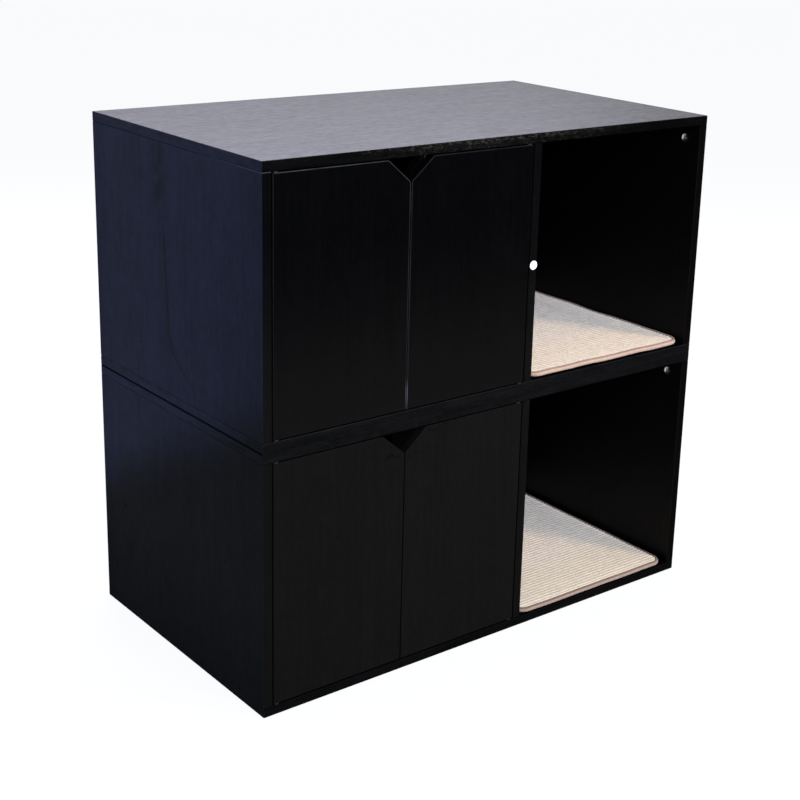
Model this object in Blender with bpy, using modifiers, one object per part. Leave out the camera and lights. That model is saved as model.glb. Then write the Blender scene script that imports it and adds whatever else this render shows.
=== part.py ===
"""Cat litter box enclosure: two stacked cabinets of black wood-grain board.

Each cabinet has a litter compartment behind a pair of inset doors, and beside it an open bay with a carpet
mat. An arched doorway in the divider joins the two. Units are metres, +Z is up and the fronts face -Y. The
origin is on the floor, at the middle of the outline.
"""

import math

import bmesh
import bpy
from mathutils import Matrix, Vector

# Carcass
CARCASS_WIDTH = 0.854
CARCASS_DEPTH = 0.482
MODULE_HEIGHT = 0.405
BOARD = 0.015
BAY_WIDTH = 0.349
EASED_EDGE = 0.0006

# Clearance between pieces that touch or seat on each other
SEAT = 0.0003

# Back panel and the groove that holds it
BACK_THICKNESS = 0.003
BACK_RECESS = 0.010
GROOVE_DEPTH = 0.005

# Arched doorway in the divider
DOORWAY_WIDTH = 0.200
DOORWAY_ABOVE_FLOOR = 0.045
DOORWAY_BELOW_CEILING = 0.050
DOORWAY_FOOT_ROUND = 0.030

# Doors, each with one top corner cut off to make the finger notch
DOOR_GAP = 0.002
DOOR_CORNER_ROUND = 0.001
NOTCH_HALF_WIDTH = 0.039
NOTCH_DEPTH = 0.0335
NOTCH_ROUND = 0.006

# Door pivots: a steel pin in the door turns in a flanged bush in the board
AXIS_INSET = 0.006
AXIS_SETBACK = 0.0048
PIN_RADIUS = 0.002
PIN_IN_DOOR = 0.012
PIN_CLEARANCE = 0.0001
BUSH_RADIUS = 0.0029
BUSH_FLANGE_RADIUS = 0.0045
BUSH_SKIN = 0.006

# Cam locks, each with its bolt, which join the top board to the uprights
CAM_RADIUS = 0.0072
CAM_SKIN = 0.003
CAM_DROP = 0.025
CAM_FROM_FRONT = 0.032
CAM_FROM_BACK = 0.060
CAM_CROSS_LENGTH = 0.008
CAM_CROSS_WIDTH = 0.0015
CAM_CROSS_DEPTH = 0.0015
BOLT_SKIN = 0.004
BOLT_THREAD_RADIUS = 0.003
BOLT_COLLAR_RADIUS = 0.0034
BOLT_COLLAR_LENGTH = 0.0015
BOLT_NECK_RADIUS = 0.0022

# Blind holes for the wooden dowels beside the cam locks
DOWEL_HOLE_RADIUS = 0.0042
DOWEL_HOLE_SKIN = 0.005
DOWEL_HOLE_IN_UPRIGHT = 0.020
DOWEL_SPACING = 0.032

# Holes for the countersunk screws that join the bottom board to the uprights
SCREW_FROM_FRONT = 0.050
SCREW_FROM_BACK = 0.060
SCREW_SINK_RADIUS = 0.005
SCREW_SINK_DEPTH = 0.004
SCREW_SHANK_HOLE_RADIUS = 0.0035
SCREW_THREAD_HOLE_RADIUS = 0.0028
SCREW_THREAD_HOLE_DEPTH = 0.036

# Holes for the screws that join the lower cabinet's top to the upper cabinet's bottom
JOINING_FROM_SIDE = 0.050
JOINING_FROM_FRONT = 0.090
JOINING_FROM_BACK = 0.090
JOINING_HOLE_RADIUS = 0.0022
JOINING_HOLE_SKIN = 0.005

# Magnetic catches under the top board
CATCH_LENGTH = 0.040
CATCH_DEPTH = 0.014
CATCH_HEIGHT = 0.013
CATCH_FROM_NOTCH = 0.015
POCKET_LENGTH = 0.024
POCKET_HEIGHT = 0.008
POCKET_DEPTH = 0.009
POLE_THICKNESS = 0.0012
POLE_PROUD = 0.0008
CATCH_HOLE_SKIN = 0.006

# Strike plates on the doors
STRIKE_LENGTH = 0.028
STRIKE_HEIGHT = 0.008
STRIKE_THICKNESS = 0.001
STRIKE_HOLE_SPACING = 0.018
STRIKE_SINK_RADIUS = 0.0028
STRIKE_SINK_DEPTH = 0.0005
STRIKE_HOLE_SKIN = 0.005

# Holes for the small screws of the catches and strike plates
SMALL_HOLE_RADIUS = 0.0014

# White cover cap in the middle of the upper divider's front edge
CAP_RADIUS = 0.007
CAP_THICKNESS = 0.0012
CAP_STEM_RADIUS = 0.0025
CAP_STEM_LENGTH = 0.010

# Carpet mats
MAT_WIDTH_PLAY = 0.009
MAT_DEPTH_PLAY = 0.019
MAT_CORNER_ROUND = 0.022
MAT_THICKNESS = 0.007

# Facets of round shapes
HOLE_SIDES = 8
BOLT_SIDES = 8
CAM_SIDES = 12
PIVOT_SIDES = 20
CORNER_STEPS = 4
ARCH_STEPS = 8

# How far a cutter stands out of the face that it cuts
OVERSHOOT = 0.001

# Places in a cabinet's own frame, whose floor is at z = 0
CAP_PROUD = SEAT + CAP_THICKNESS
FRONT = (CAP_PROUD - CARCASS_DEPTH) / 2
BACK = FRONT + CARCASS_DEPTH
LEFT = -CARCASS_WIDTH / 2
RIGHT = CARCASS_WIDTH / 2
LEFT_INNER = LEFT + BOARD
RIGHT_INNER = RIGHT - BOARD
DIVIDER_RIGHT = RIGHT_INNER - BAY_WIDTH
DIVIDER_LEFT = DIVIDER_RIGHT - BOARD
CEILING = MODULE_HEIGHT - BOARD
UPRIGHT_LOW = BOARD + SEAT
UPRIGHT_HIGH = CEILING - SEAT
BACK_PANEL_REAR = BACK - BACK_RECESS
BACK_PANEL_FRONT = BACK_PANEL_REAR - BACK_THICKNESS
DIVIDER_REAR = BACK_PANEL_FRONT - SEAT
UPRIGHTS = {
    "left_side": {"centre": LEFT + BOARD / 2, "cam_side": 1},
    "divider": {"centre": DIVIDER_LEFT + BOARD / 2, "cam_side": -1},
    "right_side": {"centre": RIGHT - BOARD / 2, "cam_side": -1},
}

# Places of the doors and of what is fixed on them
DOOR_WIDTH = (DIVIDER_LEFT - LEFT_INNER - 3 * DOOR_GAP) / 2
DOOR_LOW = BOARD + DOOR_GAP
DOOR_HIGH = CEILING - DOOR_GAP
DOOR_MEETING = LEFT_INNER + DOOR_WIDTH + 1.5 * DOOR_GAP
HINGES = {
    "left": {"axis_x": LEFT_INNER + DOOR_GAP + AXIS_INSET, "free_side": 1},
    "right": {"axis_x": DIVIDER_LEFT - DOOR_GAP - AXIS_INSET, "free_side": -1},
}
AXIS_Y = FRONT + AXIS_SETBACK
DOOR_BACK = BOARD - AXIS_SETBACK
STRIKE_FACE = DOOR_BACK + SEAT + STRIKE_THICKNESS
CATCH_FRONT = AXIS_Y + STRIKE_FACE + SEAT
CATCH_TOP = CEILING - SEAT
POLE_CENTRE = CATCH_TOP - CATCH_HEIGHT / 2
CATCH_FROM_EDGE = NOTCH_HALF_WIDTH + CATCH_FROM_NOTCH
CATCH_HOLE_OFFSET = (CATCH_LENGTH + POCKET_LENGTH) / 4

# Places of the fasteners
CAM_LINES = {"front": FRONT + CAM_FROM_FRONT, "rear": BACK - CAM_FROM_BACK}
DOWEL_LINES = (CAM_LINES["front"] + DOWEL_SPACING, CAM_LINES["rear"] - DOWEL_SPACING)
SCREW_LINES = (FRONT + SCREW_FROM_FRONT, BACK - SCREW_FROM_BACK)
JOINING_COLUMNS = (LEFT_INNER + JOINING_FROM_SIDE, RIGHT_INNER - JOINING_FROM_SIDE)
JOINING_LINES = (FRONT + JOINING_FROM_FRONT, BACK - JOINING_FROM_BACK)

# Depths that leave a skin of the board they are in
CAM_DEPTH = BOARD - CAM_SKIN
BOLT_THREAD_LENGTH = BOARD - BOLT_SKIN
BUSH_DEPTH = BOARD - BUSH_SKIN

# Carpet mat sizes
MAT_WIDTH = BAY_WIDTH - MAT_WIDTH_PLAY
MAT_DEPTH = BACK_PANEL_FRONT - FRONT - MAT_DEPTH_PLAY

# What differs between the two cabinets
CABINETS = {
    "lower": {"floor": 0.0, "mat_from_right": 0.0075, "mat_setback": 0.0015},
    "upper": {"floor": MODULE_HEIGHT + SEAT, "mat_from_right": 0.001, "mat_setback": 0.007},
}

# Base colour, roughness and metallic value of each finish
FINISHES = {
    "black_board": ((0.012, 0.012, 0.014), 0.42, 0.0),
    "back_board": ((0.014, 0.014, 0.015), 0.55, 0.0),
    "steel": ((0.55, 0.55, 0.56), 0.30, 1.0),
    "zinc": ((0.60, 0.60, 0.61), 0.38, 1.0),
    "black_plastic": ((0.02, 0.02, 0.02), 0.50, 0.0),
    "nylon": ((0.62, 0.62, 0.60), 0.45, 0.0),
    "ferrite": ((0.06, 0.06, 0.065), 0.60, 0.0),
    "white_plastic": ((0.85, 0.86, 0.87), 0.35, 0.0),
    "carpet": ((0.62, 0.55, 0.46), 0.95, 0.0),
}

X_AXIS = Vector((1, 0, 0))
Y_AXIS = Vector((0, 1, 0))
Z_AXIS = Vector((0, 0, 1))


# Scene helpers


def clear_scene():
    for obj in list(bpy.data.objects):
        bpy.data.objects.remove(obj, do_unlink=True)


def make_collection(name):
    collection = bpy.data.collections.new(name)
    bpy.context.scene.collection.children.link(collection)
    return collection


def place(obj, collection, parent=None, matrix=None):
    """Links an object into a collection, under a parent, at a matrix in the parent's frame."""
    collection.objects.link(obj)
    obj.parent = parent
    if matrix is not None:
        obj.matrix_local = matrix
    return obj


def add_empty(name, location, parent=None):
    empty = bpy.data.objects.new(name, None)
    empty.empty_display_size = BOARD
    return place(empty, PARTS, parent, Matrix.Translation(location))


def give_finish(obj, finish):
    colour, roughness, metallic = FINISHES[finish]
    material = bpy.data.materials.new(f"{obj.name}_{finish}")
    material.use_nodes = True
    shader = material.node_tree.nodes["Principled BSDF"]
    shader.inputs["Base Color"].default_value = (*colour, 1.0)
    shader.inputs["Roughness"].default_value = roughness
    shader.inputs["Metallic"].default_value = metallic
    obj.data.materials.clear()
    obj.data.materials.append(material)


def facing(point, normal):
    """A matrix that turns a piece's Z to a level normal and its Y upwards, at a point."""
    sideways = Z_AXIS.cross(normal)
    turn = Matrix((sideways, Z_AXIS, normal)).transposed().to_4x4()
    return Matrix.Translation(point) @ turn


# Shapes


def box_object(name, low, high):
    """A box between two corners, with its origin at its centre."""
    low = Vector(low)
    high = Vector(high)
    bm = bmesh.new()
    bmesh.ops.create_cube(bm, size=1.0, matrix=Matrix.Diagonal((*(high - low), 1.0)))
    mesh = bpy.data.meshes.new(name)
    bm.to_mesh(mesh)
    bm.free()
    obj = bpy.data.objects.new(name, mesh)
    obj.location = (low + high) / 2
    return obj


def rod_object(name, rods, sides=HOLE_SIDES):
    """Separate closed cylinders in one object, each given as (start, end, radius)."""
    bm = bmesh.new()
    for start, end, radius in rods:
        along = end - start
        turn = along.to_track_quat("Z", "Y").to_matrix().to_4x4()
        middle = Matrix.Translation((start + end) / 2)
        bmesh.ops.create_cone(
            bm,
            cap_ends=True,
            segments=sides,
            radius1=radius,
            radius2=radius,
            depth=along.length,
            matrix=middle @ turn,
        )
    mesh = bpy.data.meshes.new(name)
    bm.to_mesh(mesh)
    bm.free()
    return bpy.data.objects.new(name, mesh)


def evaluated_mesh(obj):
    bpy.context.view_layer.update()
    graph = bpy.context.evaluated_depsgraph_get()
    return bpy.data.meshes.new_from_object(obj.evaluated_get(graph))


def rounded_outline(corners, steps=CORNER_STEPS):
    """A closed outline through corners, each (x, y, radius), with an arc at each one."""
    points = []
    count = len(corners)
    for i, (x, y, radius) in enumerate(corners):
        here = Vector((x, y))
        before = (Vector(corners[i - 1][:2]) - here).normalized()
        after = (Vector(corners[(i + 1) % count][:2]) - here).normalized()
        half_angle = before.angle(after) / 2
        centre = here + (before + after).normalized() * (radius / math.sin(half_angle))
        start = here + before * (radius / math.tan(half_angle)) - centre
        end = here + after * (radius / math.tan(half_angle)) - centre
        sweep = math.atan2(start.cross(end), start.dot(end))
        for step in range(steps + 1):
            points.append(centre + Matrix.Rotation(sweep * step / steps, 2) @ start)
    return points


def plate_object(name, outline, thickness):
    """A flat plate of an outline, centred on its own XY plane."""
    curve = bpy.data.curves.new(name, "CURVE")
    curve.dimensions = "2D"
    curve.fill_mode = "BOTH"
    curve.extrude = thickness / 2
    spline = curve.splines.new("POLY")
    spline.points.add(len(outline) - 1)
    for point, (x, y) in zip(spline.points, outline):
        point.co = (x, y, 0, 1)
    spline.use_cyclic_u = True
    flat = place(bpy.data.objects.new(f"{name}_outline", curve), CUTTERS)
    mesh = evaluated_mesh(flat)
    mesh.name = name
    bpy.data.objects.remove(flat, do_unlink=True)
    bm = bmesh.new()
    bm.from_mesh(mesh)
    bmesh.ops.remove_doubles(bm, verts=bm.verts, dist=0.00001)
    bmesh.ops.dissolve_limit(bm, angle_limit=0.001, verts=bm.verts, edges=bm.edges)
    bmesh.ops.recalc_face_normals(bm, faces=bm.faces)
    bm.to_mesh(mesh)
    bm.free()
    return bpy.data.objects.new(name, mesh)


def ease_edges(obj):
    bevel = obj.modifiers.new("eased_edges", "BEVEL")
    bevel.width = EASED_EDGE
    bevel.segments = 1
    bevel.limit_method = "ANGLE"
    bevel.angle_limit = math.radians(40)


def combine(target, other, operation="DIFFERENCE"):
    """Takes another shape out of the target, or joins it on. It is placed under the target's parent."""
    place(other, CUTTERS, target.parent)
    other.hide_render = True
    other.display_type = "WIRE"
    boolean = target.modifiers.new(other.name, "BOOLEAN")
    boolean.operation = operation
    boolean.solver = "EXACT"
    boolean.object = other


def drill(target, name, holes, sides=HOLE_SIDES):
    """Drills separate round holes, each (mouth, direction into the piece, radius, depth)."""
    rods = []
    for mouth, direction, radius, depth in holes:
        mouth = Vector(mouth)
        rods.append((mouth - direction * OVERSHOOT, mouth + direction * depth, radius))
    combine(target, rod_object(name, rods, sides))


def finished_mesh(body, *others):
    """The mesh of a body with its modifiers applied. The body and what it was combined with are used up."""
    mesh = evaluated_mesh(body)
    mesh.transform(body.matrix_local)
    for used in (body, *others):
        bpy.data.objects.remove(used, do_unlink=True)
    return mesh


def turned_object(name, profile, sides, ring=False):
    """Spins (radius, height) points about Z. They run down the outer side, from top to bottom."""
    edges = [(i, i + 1) for i in range(len(profile) - 1)]
    if ring:
        edges.append((len(profile) - 1, 0))
    mesh = bpy.data.meshes.new(name)
    mesh.from_pydata([(radius, 0, height) for radius, height in profile], edges, [])
    body = bpy.data.objects.new(name, mesh)
    screw = body.modifiers.new("turned", "SCREW")
    screw.steps = sides
    screw.render_steps = sides
    screw.use_merge_vertices = True
    screw.merge_threshold = 0.00005
    return body


def add_piece(name, mesh, matrix, finish, parent):
    """A piece with its own copy of a mesh, placed at a matrix in the parent's frame."""
    own_mesh = mesh.copy()
    own_mesh.name = name
    own_mesh.shade_smooth()
    own_mesh.set_sharp_from_angle(angle=math.radians(50))
    piece = place(bpy.data.objects.new(name, own_mesh), PARTS, parent, matrix)
    give_finish(piece, finish)
    return piece


# Boards


def make_board(name, low, high, cabinet):
    board = place(box_object(name, low, high), PARTS, cabinet)
    ease_edges(board)
    give_finish(board, "black_board")
    return board


def groove_cutter(name, low_x, high_x, low_z, high_z):
    low = (low_x, BACK_PANEL_FRONT - SEAT, low_z)
    high = (high_x, BACK_PANEL_REAR + SEAT, high_z)
    return box_object(name, low, high)


def bush_holes(z, direction):
    radius = BUSH_RADIUS + SEAT
    depth = BUSH_DEPTH + SEAT
    return [((hinge["axis_x"], AXIS_Y, z), direction, radius, depth) for hinge in HINGES.values()]


def joining_holes(z, depth):
    places = [(x, y, z) for x in JOINING_COLUMNS for y in JOINING_LINES]
    return [(at, Z_AXIS, JOINING_HOLE_RADIUS, depth) for at in places]


def catch_centres():
    """How far right the middle of each of a cabinet's two catches is."""
    reach = DOOR_GAP / 2 + CATCH_FROM_EDGE
    return {"left": DOOR_MEETING - reach, "right": DOOR_MEETING + reach}


def catch_holes():
    y = CATCH_FRONT + CATCH_DEPTH / 2
    offsets = (-CATCH_HOLE_OFFSET, CATCH_HOLE_OFFSET)
    mouths = [(x + offset, y, CEILING) for x in catch_centres().values() for offset in offsets]
    return [(mouth, Z_AXIS, SMALL_HOLE_RADIUS, BOARD - CATCH_HOLE_SKIN) for mouth in mouths]


def make_top_panel(name, cabinet, is_joined):
    panel_name = f"{name}_top_panel"
    panel = make_board(panel_name, (LEFT, FRONT, CEILING), (RIGHT, BACK, MODULE_HEIGHT), cabinet)
    holes = bush_holes(CEILING, Z_AXIS) + catch_holes()
    for upright in UPRIGHTS.values():
        x = upright["centre"]
        for y in CAM_LINES.values():
            holes.append(((x, y, CEILING), Z_AXIS, BOLT_THREAD_RADIUS + SEAT, BOLT_THREAD_LENGTH + SEAT))
        for y in DOWEL_LINES:
            holes.append(((x, y, CEILING), Z_AXIS, DOWEL_HOLE_RADIUS, BOARD - DOWEL_HOLE_SKIN))
    if is_joined:
        holes += joining_holes(CEILING, BOARD + OVERSHOOT)
    drill(panel, f"{panel_name}_holes", holes)
    sides = (LEFT_INNER - GROOVE_DEPTH, RIGHT_INNER + GROOVE_DEPTH)
    combine(panel, groove_cutter(f"{panel_name}_groove", *sides, CEILING - OVERSHOOT, CEILING + GROOVE_DEPTH))


def make_bottom_panel(name, cabinet, is_joined):
    panel_name = f"{name}_bottom_panel"
    panel = make_board(panel_name, (LEFT, FRONT, 0), (RIGHT, BACK, BOARD), cabinet)
    holes = bush_holes(BOARD, -Z_AXIS)
    sinks = []
    for upright in UPRIGHTS.values():
        for y in SCREW_LINES:
            foot = (upright["centre"], y, 0)
            holes.append((foot, Z_AXIS, SCREW_SHANK_HOLE_RADIUS, BOARD + OVERSHOOT))
            sinks.append((foot, Z_AXIS, SCREW_SINK_RADIUS, SCREW_SINK_DEPTH))
    if is_joined:
        holes += joining_holes(0, BOARD - JOINING_HOLE_SKIN)
    drill(panel, f"{panel_name}_holes", holes)
    drill(panel, f"{panel_name}_sinks", sinks)
    sides = (LEFT_INNER - GROOVE_DEPTH, RIGHT_INNER + GROOVE_DEPTH)
    combine(panel, groove_cutter(f"{panel_name}_groove", *sides, BOARD - GROOVE_DEPTH, BOARD + OVERSHOOT))


def make_upright(name, upright, rear, cabinet):
    """A side panel or the divider, drilled for its cam locks, bolts, dowels and bottom screws."""
    panel_name = f"{name}_{upright}_panel"
    x = UPRIGHTS[upright]["centre"]
    cam_side = UPRIGHTS[upright]["cam_side"]
    low = (x - BOARD / 2, FRONT, UPRIGHT_LOW)
    high = (x + BOARD / 2, rear, UPRIGHT_HIGH)
    panel = make_board(panel_name, low, high, cabinet)
    cam_holes = []
    edge_holes = []
    for y in CAM_LINES.values():
        mouth = (x + cam_side * BOARD / 2, y, CEILING - CAM_DROP)
        cam_holes.append((mouth, -cam_side * X_AXIS, CAM_RADIUS + SEAT, CAM_DEPTH + SEAT))
        bolt_reach = CAM_DROP - SEAT - CAM_RADIUS / 2
        edge_holes.append(((x, y, UPRIGHT_HIGH), -Z_AXIS, BOLT_COLLAR_RADIUS + SEAT, bolt_reach))
    for y in DOWEL_LINES:
        edge_holes.append(((x, y, UPRIGHT_HIGH), -Z_AXIS, DOWEL_HOLE_RADIUS, DOWEL_HOLE_IN_UPRIGHT))
    for y in SCREW_LINES:
        edge_holes.append(((x, y, UPRIGHT_LOW), Z_AXIS, SCREW_THREAD_HOLE_RADIUS, SCREW_THREAD_HOLE_DEPTH))
    drill(panel, f"{panel_name}_cam_holes", cam_holes, CAM_SIDES)
    drill(panel, f"{panel_name}_edge_holes", edge_holes)
    return panel


def make_side_panel(name, upright, cabinet):
    panel = make_upright(name, upright, BACK, cabinet)
    cam_side = UPRIGHTS[upright]["cam_side"]
    inner_face = UPRIGHTS[upright]["centre"] + cam_side * BOARD / 2
    floor_of_groove = inner_face - cam_side * GROOVE_DEPTH
    clear_of_face = inner_face + cam_side * OVERSHOOT
    low_x, high_x = sorted((floor_of_groove, clear_of_face))
    combine(panel, groove_cutter(f"{panel.name}_groove", low_x, high_x, 0, MODULE_HEIGHT))


def make_divider(name, cabinet):
    """The divider, with a doorway drawn as depth along X and height along Y."""
    panel = make_upright(name, "divider", DIVIDER_REAR, cabinet)
    middle = (FRONT + DIVIDER_REAR) / 2
    near = middle - DOORWAY_WIDTH / 2
    far = middle + DOORWAY_WIDTH / 2
    sill = BOARD + DOORWAY_ABOVE_FLOOR
    crown = CEILING - DOORWAY_BELOW_CEILING
    arch = DOORWAY_WIDTH / 2 - OVERSHOOT
    corners = [
        (near, sill, DOORWAY_FOOT_ROUND),
        (far, sill, DOORWAY_FOOT_ROUND),
        (far, crown, arch),
        (near, crown, arch),
    ]
    outline = rounded_outline(corners, ARCH_STEPS)
    doorway = plate_object(f"{panel.name}_doorway", outline, BOARD + 2 * OVERSHOOT)
    on_edge = Matrix((Y_AXIS, Z_AXIS, X_AXIS)).transposed().to_4x4()
    doorway.matrix_local = Matrix.Translation((UPRIGHTS["divider"]["centre"], 0, 0)) @ on_edge
    combine(panel, doorway)
    return panel


def make_back_panel(name, cabinet):
    reach = GROOVE_DEPTH - SEAT
    low = (LEFT_INNER - reach, BACK_PANEL_FRONT, BOARD - reach)
    high = (RIGHT_INNER + reach, BACK_PANEL_REAR, CEILING + reach)
    panel = place(box_object(f"{name}_back_panel", low, high), PARTS, cabinet)
    give_finish(panel, "back_board")


def make_cap(name, divider, cabinet):
    """A round cap with a softened rim, pushed into the middle of the divider's front edge by its stem."""
    x = UPRIGHTS["divider"]["centre"]
    mouth = (x, FRONT, MODULE_HEIGHT / 2)
    drill(divider, f"{divider.name}_cap_hole", [(mouth, Y_AXIS, CAP_STEM_RADIUS + SEAT, CAP_STEM_LENGTH)])
    rim = CAP_THICKNESS / 3
    profile = [
        (0, CAP_THICKNESS),
        (CAP_RADIUS - rim, CAP_THICKNESS),
        (CAP_RADIUS, CAP_THICKNESS - rim),
        (CAP_RADIUS, 0),
        (CAP_STEM_RADIUS, 0),
        (CAP_STEM_RADIUS, -CAP_STEM_LENGTH),
        (0, -CAP_STEM_LENGTH),
    ]
    cap = place(turned_object("cap", profile, PIVOT_SIDES), CUTTERS)
    at = (x, FRONT - SEAT, MODULE_HEIGHT / 2)
    add_piece(f"{name}_divider_cover_cap", finished_mesh(cap), facing(at, -Y_AXIS), "white_plastic", cabinet)


# Cam locks


def cam_lock_mesh():
    """A cam with a cross recess in its face at z = 0, gripping a bolt that stands out of its rim along +Y."""
    cam = place(rod_object("cam", [(-CAM_DEPTH * Z_AXIS, Vector(), CAM_RADIUS)], CAM_SIDES), CUTTERS)
    half = Vector((CAM_CROSS_LENGTH, CAM_CROSS_WIDTH, 0)) / 2
    crossed = Vector((CAM_CROSS_WIDTH, CAM_CROSS_LENGTH, 0)) / 2
    down = CAM_CROSS_DEPTH * Z_AXIS
    up = OVERSHOOT * Z_AXIS
    slot = box_object("cam_slot", -half - down, half + up)
    cross_slot = box_object("cam_cross_slot", -crossed - down, crossed + up)
    collar_end = -SEAT - BOLT_COLLAR_LENGTH
    profile = [
        (0, BOLT_THREAD_LENGTH),
        (BOLT_THREAD_RADIUS, BOLT_THREAD_LENGTH),
        (BOLT_THREAD_RADIUS, -SEAT),
        (BOLT_COLLAR_RADIUS, -SEAT),
        (BOLT_COLLAR_RADIUS, collar_end),
        (BOLT_NECK_RADIUS, collar_end),
        (BOLT_NECK_RADIUS, -CAM_DROP),
        (0, -CAM_DROP),
    ]
    bolt = turned_object("cam_bolt", profile, BOLT_SIDES)
    bolt.matrix_local = Matrix.Translation((0, CAM_DROP, -BOARD / 2)) @ Matrix.Rotation(-math.pi / 2, 4, "X")
    combine(cam, slot)
    combine(cam, cross_slot)
    combine(cam, bolt, "UNION")
    return finished_mesh(cam, slot, cross_slot, bolt)


def make_cam_locks(name, cabinet):
    mesh = cam_lock_mesh()
    for upright, values in UPRIGHTS.items():
        cam_side = values["cam_side"]
        for line, y in CAM_LINES.items():
            mouth = (values["centre"] + cam_side * BOARD / 2, y, CEILING - CAM_DROP)
            piece_name = f"{name}_{upright}_{line}_cam_lock"
            add_piece(piece_name, mesh, facing(mouth, cam_side * X_AXIS), "zinc", cabinet)


# Catches


def catch_housing_mesh():
    """A housing whose front face is at y = 0 and whose top is at z = 0, with a pocket for the magnet."""
    half = CATCH_LENGTH / 2
    body = place(box_object("catch", (-half, 0, -CATCH_HEIGHT), (half, CATCH_DEPTH, 0)), CUTTERS)
    ease_edges(body)
    middle = -CATCH_HEIGHT / 2
    low = (-POCKET_LENGTH / 2, -OVERSHOOT, middle - POCKET_HEIGHT / 2)
    high = (POCKET_LENGTH / 2, POCKET_DEPTH, middle + POCKET_HEIGHT / 2)
    pocket = box_object("catch_pocket", low, high)
    rods = []
    for x in (-CATCH_HOLE_OFFSET, CATCH_HOLE_OFFSET):
        foot = Vector((x, CATCH_DEPTH / 2, -CATCH_HEIGHT - OVERSHOOT))
        head = Vector((x, CATCH_DEPTH / 2, OVERSHOOT))
        rods.append((foot, head, SMALL_HOLE_RADIUS))
    holes = rod_object("catch_holes", rods)
    combine(body, pocket)
    combine(body, holes)
    return finished_mesh(body, pocket, holes)


def catch_magnet_mesh():
    """A magnet block whose pole plates, along its top and bottom, stand a little proud at the front."""
    half_length = POCKET_LENGTH / 2 - SEAT
    half_height = POCKET_HEIGHT / 2 - SEAT
    low = (-half_length, 0, -half_height)
    high = (half_length, POCKET_DEPTH - SEAT, half_height)
    body = place(box_object("magnet", low, high), CUTTERS)
    between = half_height - POLE_THICKNESS
    low = (-half_length - OVERSHOOT, -OVERSHOOT, -between)
    high = (half_length + OVERSHOOT, POLE_PROUD, between)
    channel = box_object("magnet_channel", low, high)
    combine(body, channel)
    return finished_mesh(body, channel)


def make_catches(name, cabinet):
    housing = catch_housing_mesh()
    magnet = catch_magnet_mesh()
    for hand, x in catch_centres().items():
        top = Matrix.Translation((x, CATCH_FRONT, CATCH_TOP))
        centre = Matrix.Translation((x, CATCH_FRONT, POLE_CENTRE))
        add_piece(f"{name}_{hand}_catch_housing", housing, top, "black_plastic", cabinet)
        add_piece(f"{name}_{hand}_catch_magnet", magnet, centre, "ferrite", cabinet)


# Doors


def bush_mesh():
    """A flanged bush that stands on a board at z = 0 and reaches down into it."""
    bore = PIN_RADIUS + PIN_CLEARANCE
    flange_top = DOOR_GAP - SEAT
    profile = [
        (bore, flange_top),
        (BUSH_FLANGE_RADIUS, flange_top),
        (BUSH_FLANGE_RADIUS, SEAT),
        (BUSH_RADIUS, SEAT),
        (BUSH_RADIUS, -BUSH_DEPTH),
        (bore, -BUSH_DEPTH),
    ]
    return finished_mesh(place(turned_object("bush", profile, PIVOT_SIDES, ring=True), CUTTERS))


def pin_mesh():
    """A pin that starts at z = 0, in the door, and ends in the bush below."""
    end = -(DOOR_GAP + BUSH_DEPTH)
    rod = [(end * Z_AXIS, PIN_IN_DOOR * Z_AXIS, PIN_RADIUS)]
    return finished_mesh(place(rod_object("pin", rod, PIVOT_SIDES), CUTTERS))


def make_pivots(door_name, axis, hinge_place, cabinet):
    """A door's two bushes, which the boards hold, and its two pins, which turn with it."""
    bush = bush_mesh()
    pin = pin_mesh()
    over = Matrix.Rotation(math.pi, 4, "X")
    foot = Matrix.Translation((*hinge_place, BOARD))
    head = Matrix.Translation((*hinge_place, CEILING)) @ over
    add_piece(f"{door_name}_bottom_bush", bush, foot, "nylon", cabinet)
    add_piece(f"{door_name}_top_bush", bush, head, "nylon", cabinet)
    add_piece(f"{door_name}_bottom_pin", pin, Matrix.Translation((0, 0, DOOR_LOW)), "steel", axis)
    add_piece(f"{door_name}_top_pin", pin, Matrix.Translation((0, 0, DOOR_HIGH)) @ over, "steel", axis)


def make_strike(name, panel, free_side, axis):
    """A strike plate on the door's back, opposite the catch, with two countersunk holes."""
    x = free_side * (DOOR_WIDTH - AXIS_INSET - CATCH_FROM_EDGE)
    half = Vector((STRIKE_LENGTH, STRIKE_THICKNESS, STRIKE_HEIGHT)) / 2
    centre = Vector((x, STRIKE_FACE - half.y, POLE_CENTRE))
    plate_name = f"{name}_strike_plate"
    plate = place(box_object(plate_name, centre - half, centre + half), PARTS, axis)
    give_finish(plate, "steel")
    offsets = (-STRIKE_HOLE_SPACING / 2, STRIKE_HOLE_SPACING / 2)
    mouths = [(x + offset, STRIKE_FACE, POLE_CENTRE) for offset in offsets]
    sinks = [(at, -Y_AXIS, STRIKE_SINK_RADIUS, STRIKE_SINK_DEPTH) for at in mouths]
    holes = [(at, -Y_AXIS, SMALL_HOLE_RADIUS, BOARD - STRIKE_HOLE_SKIN) for at in mouths]
    drill(plate, f"{plate_name}_sinks", sinks)
    drill(plate, f"{plate_name}_holes", holes)
    drill(panel, f"{name}_strike_holes", holes)


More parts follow.
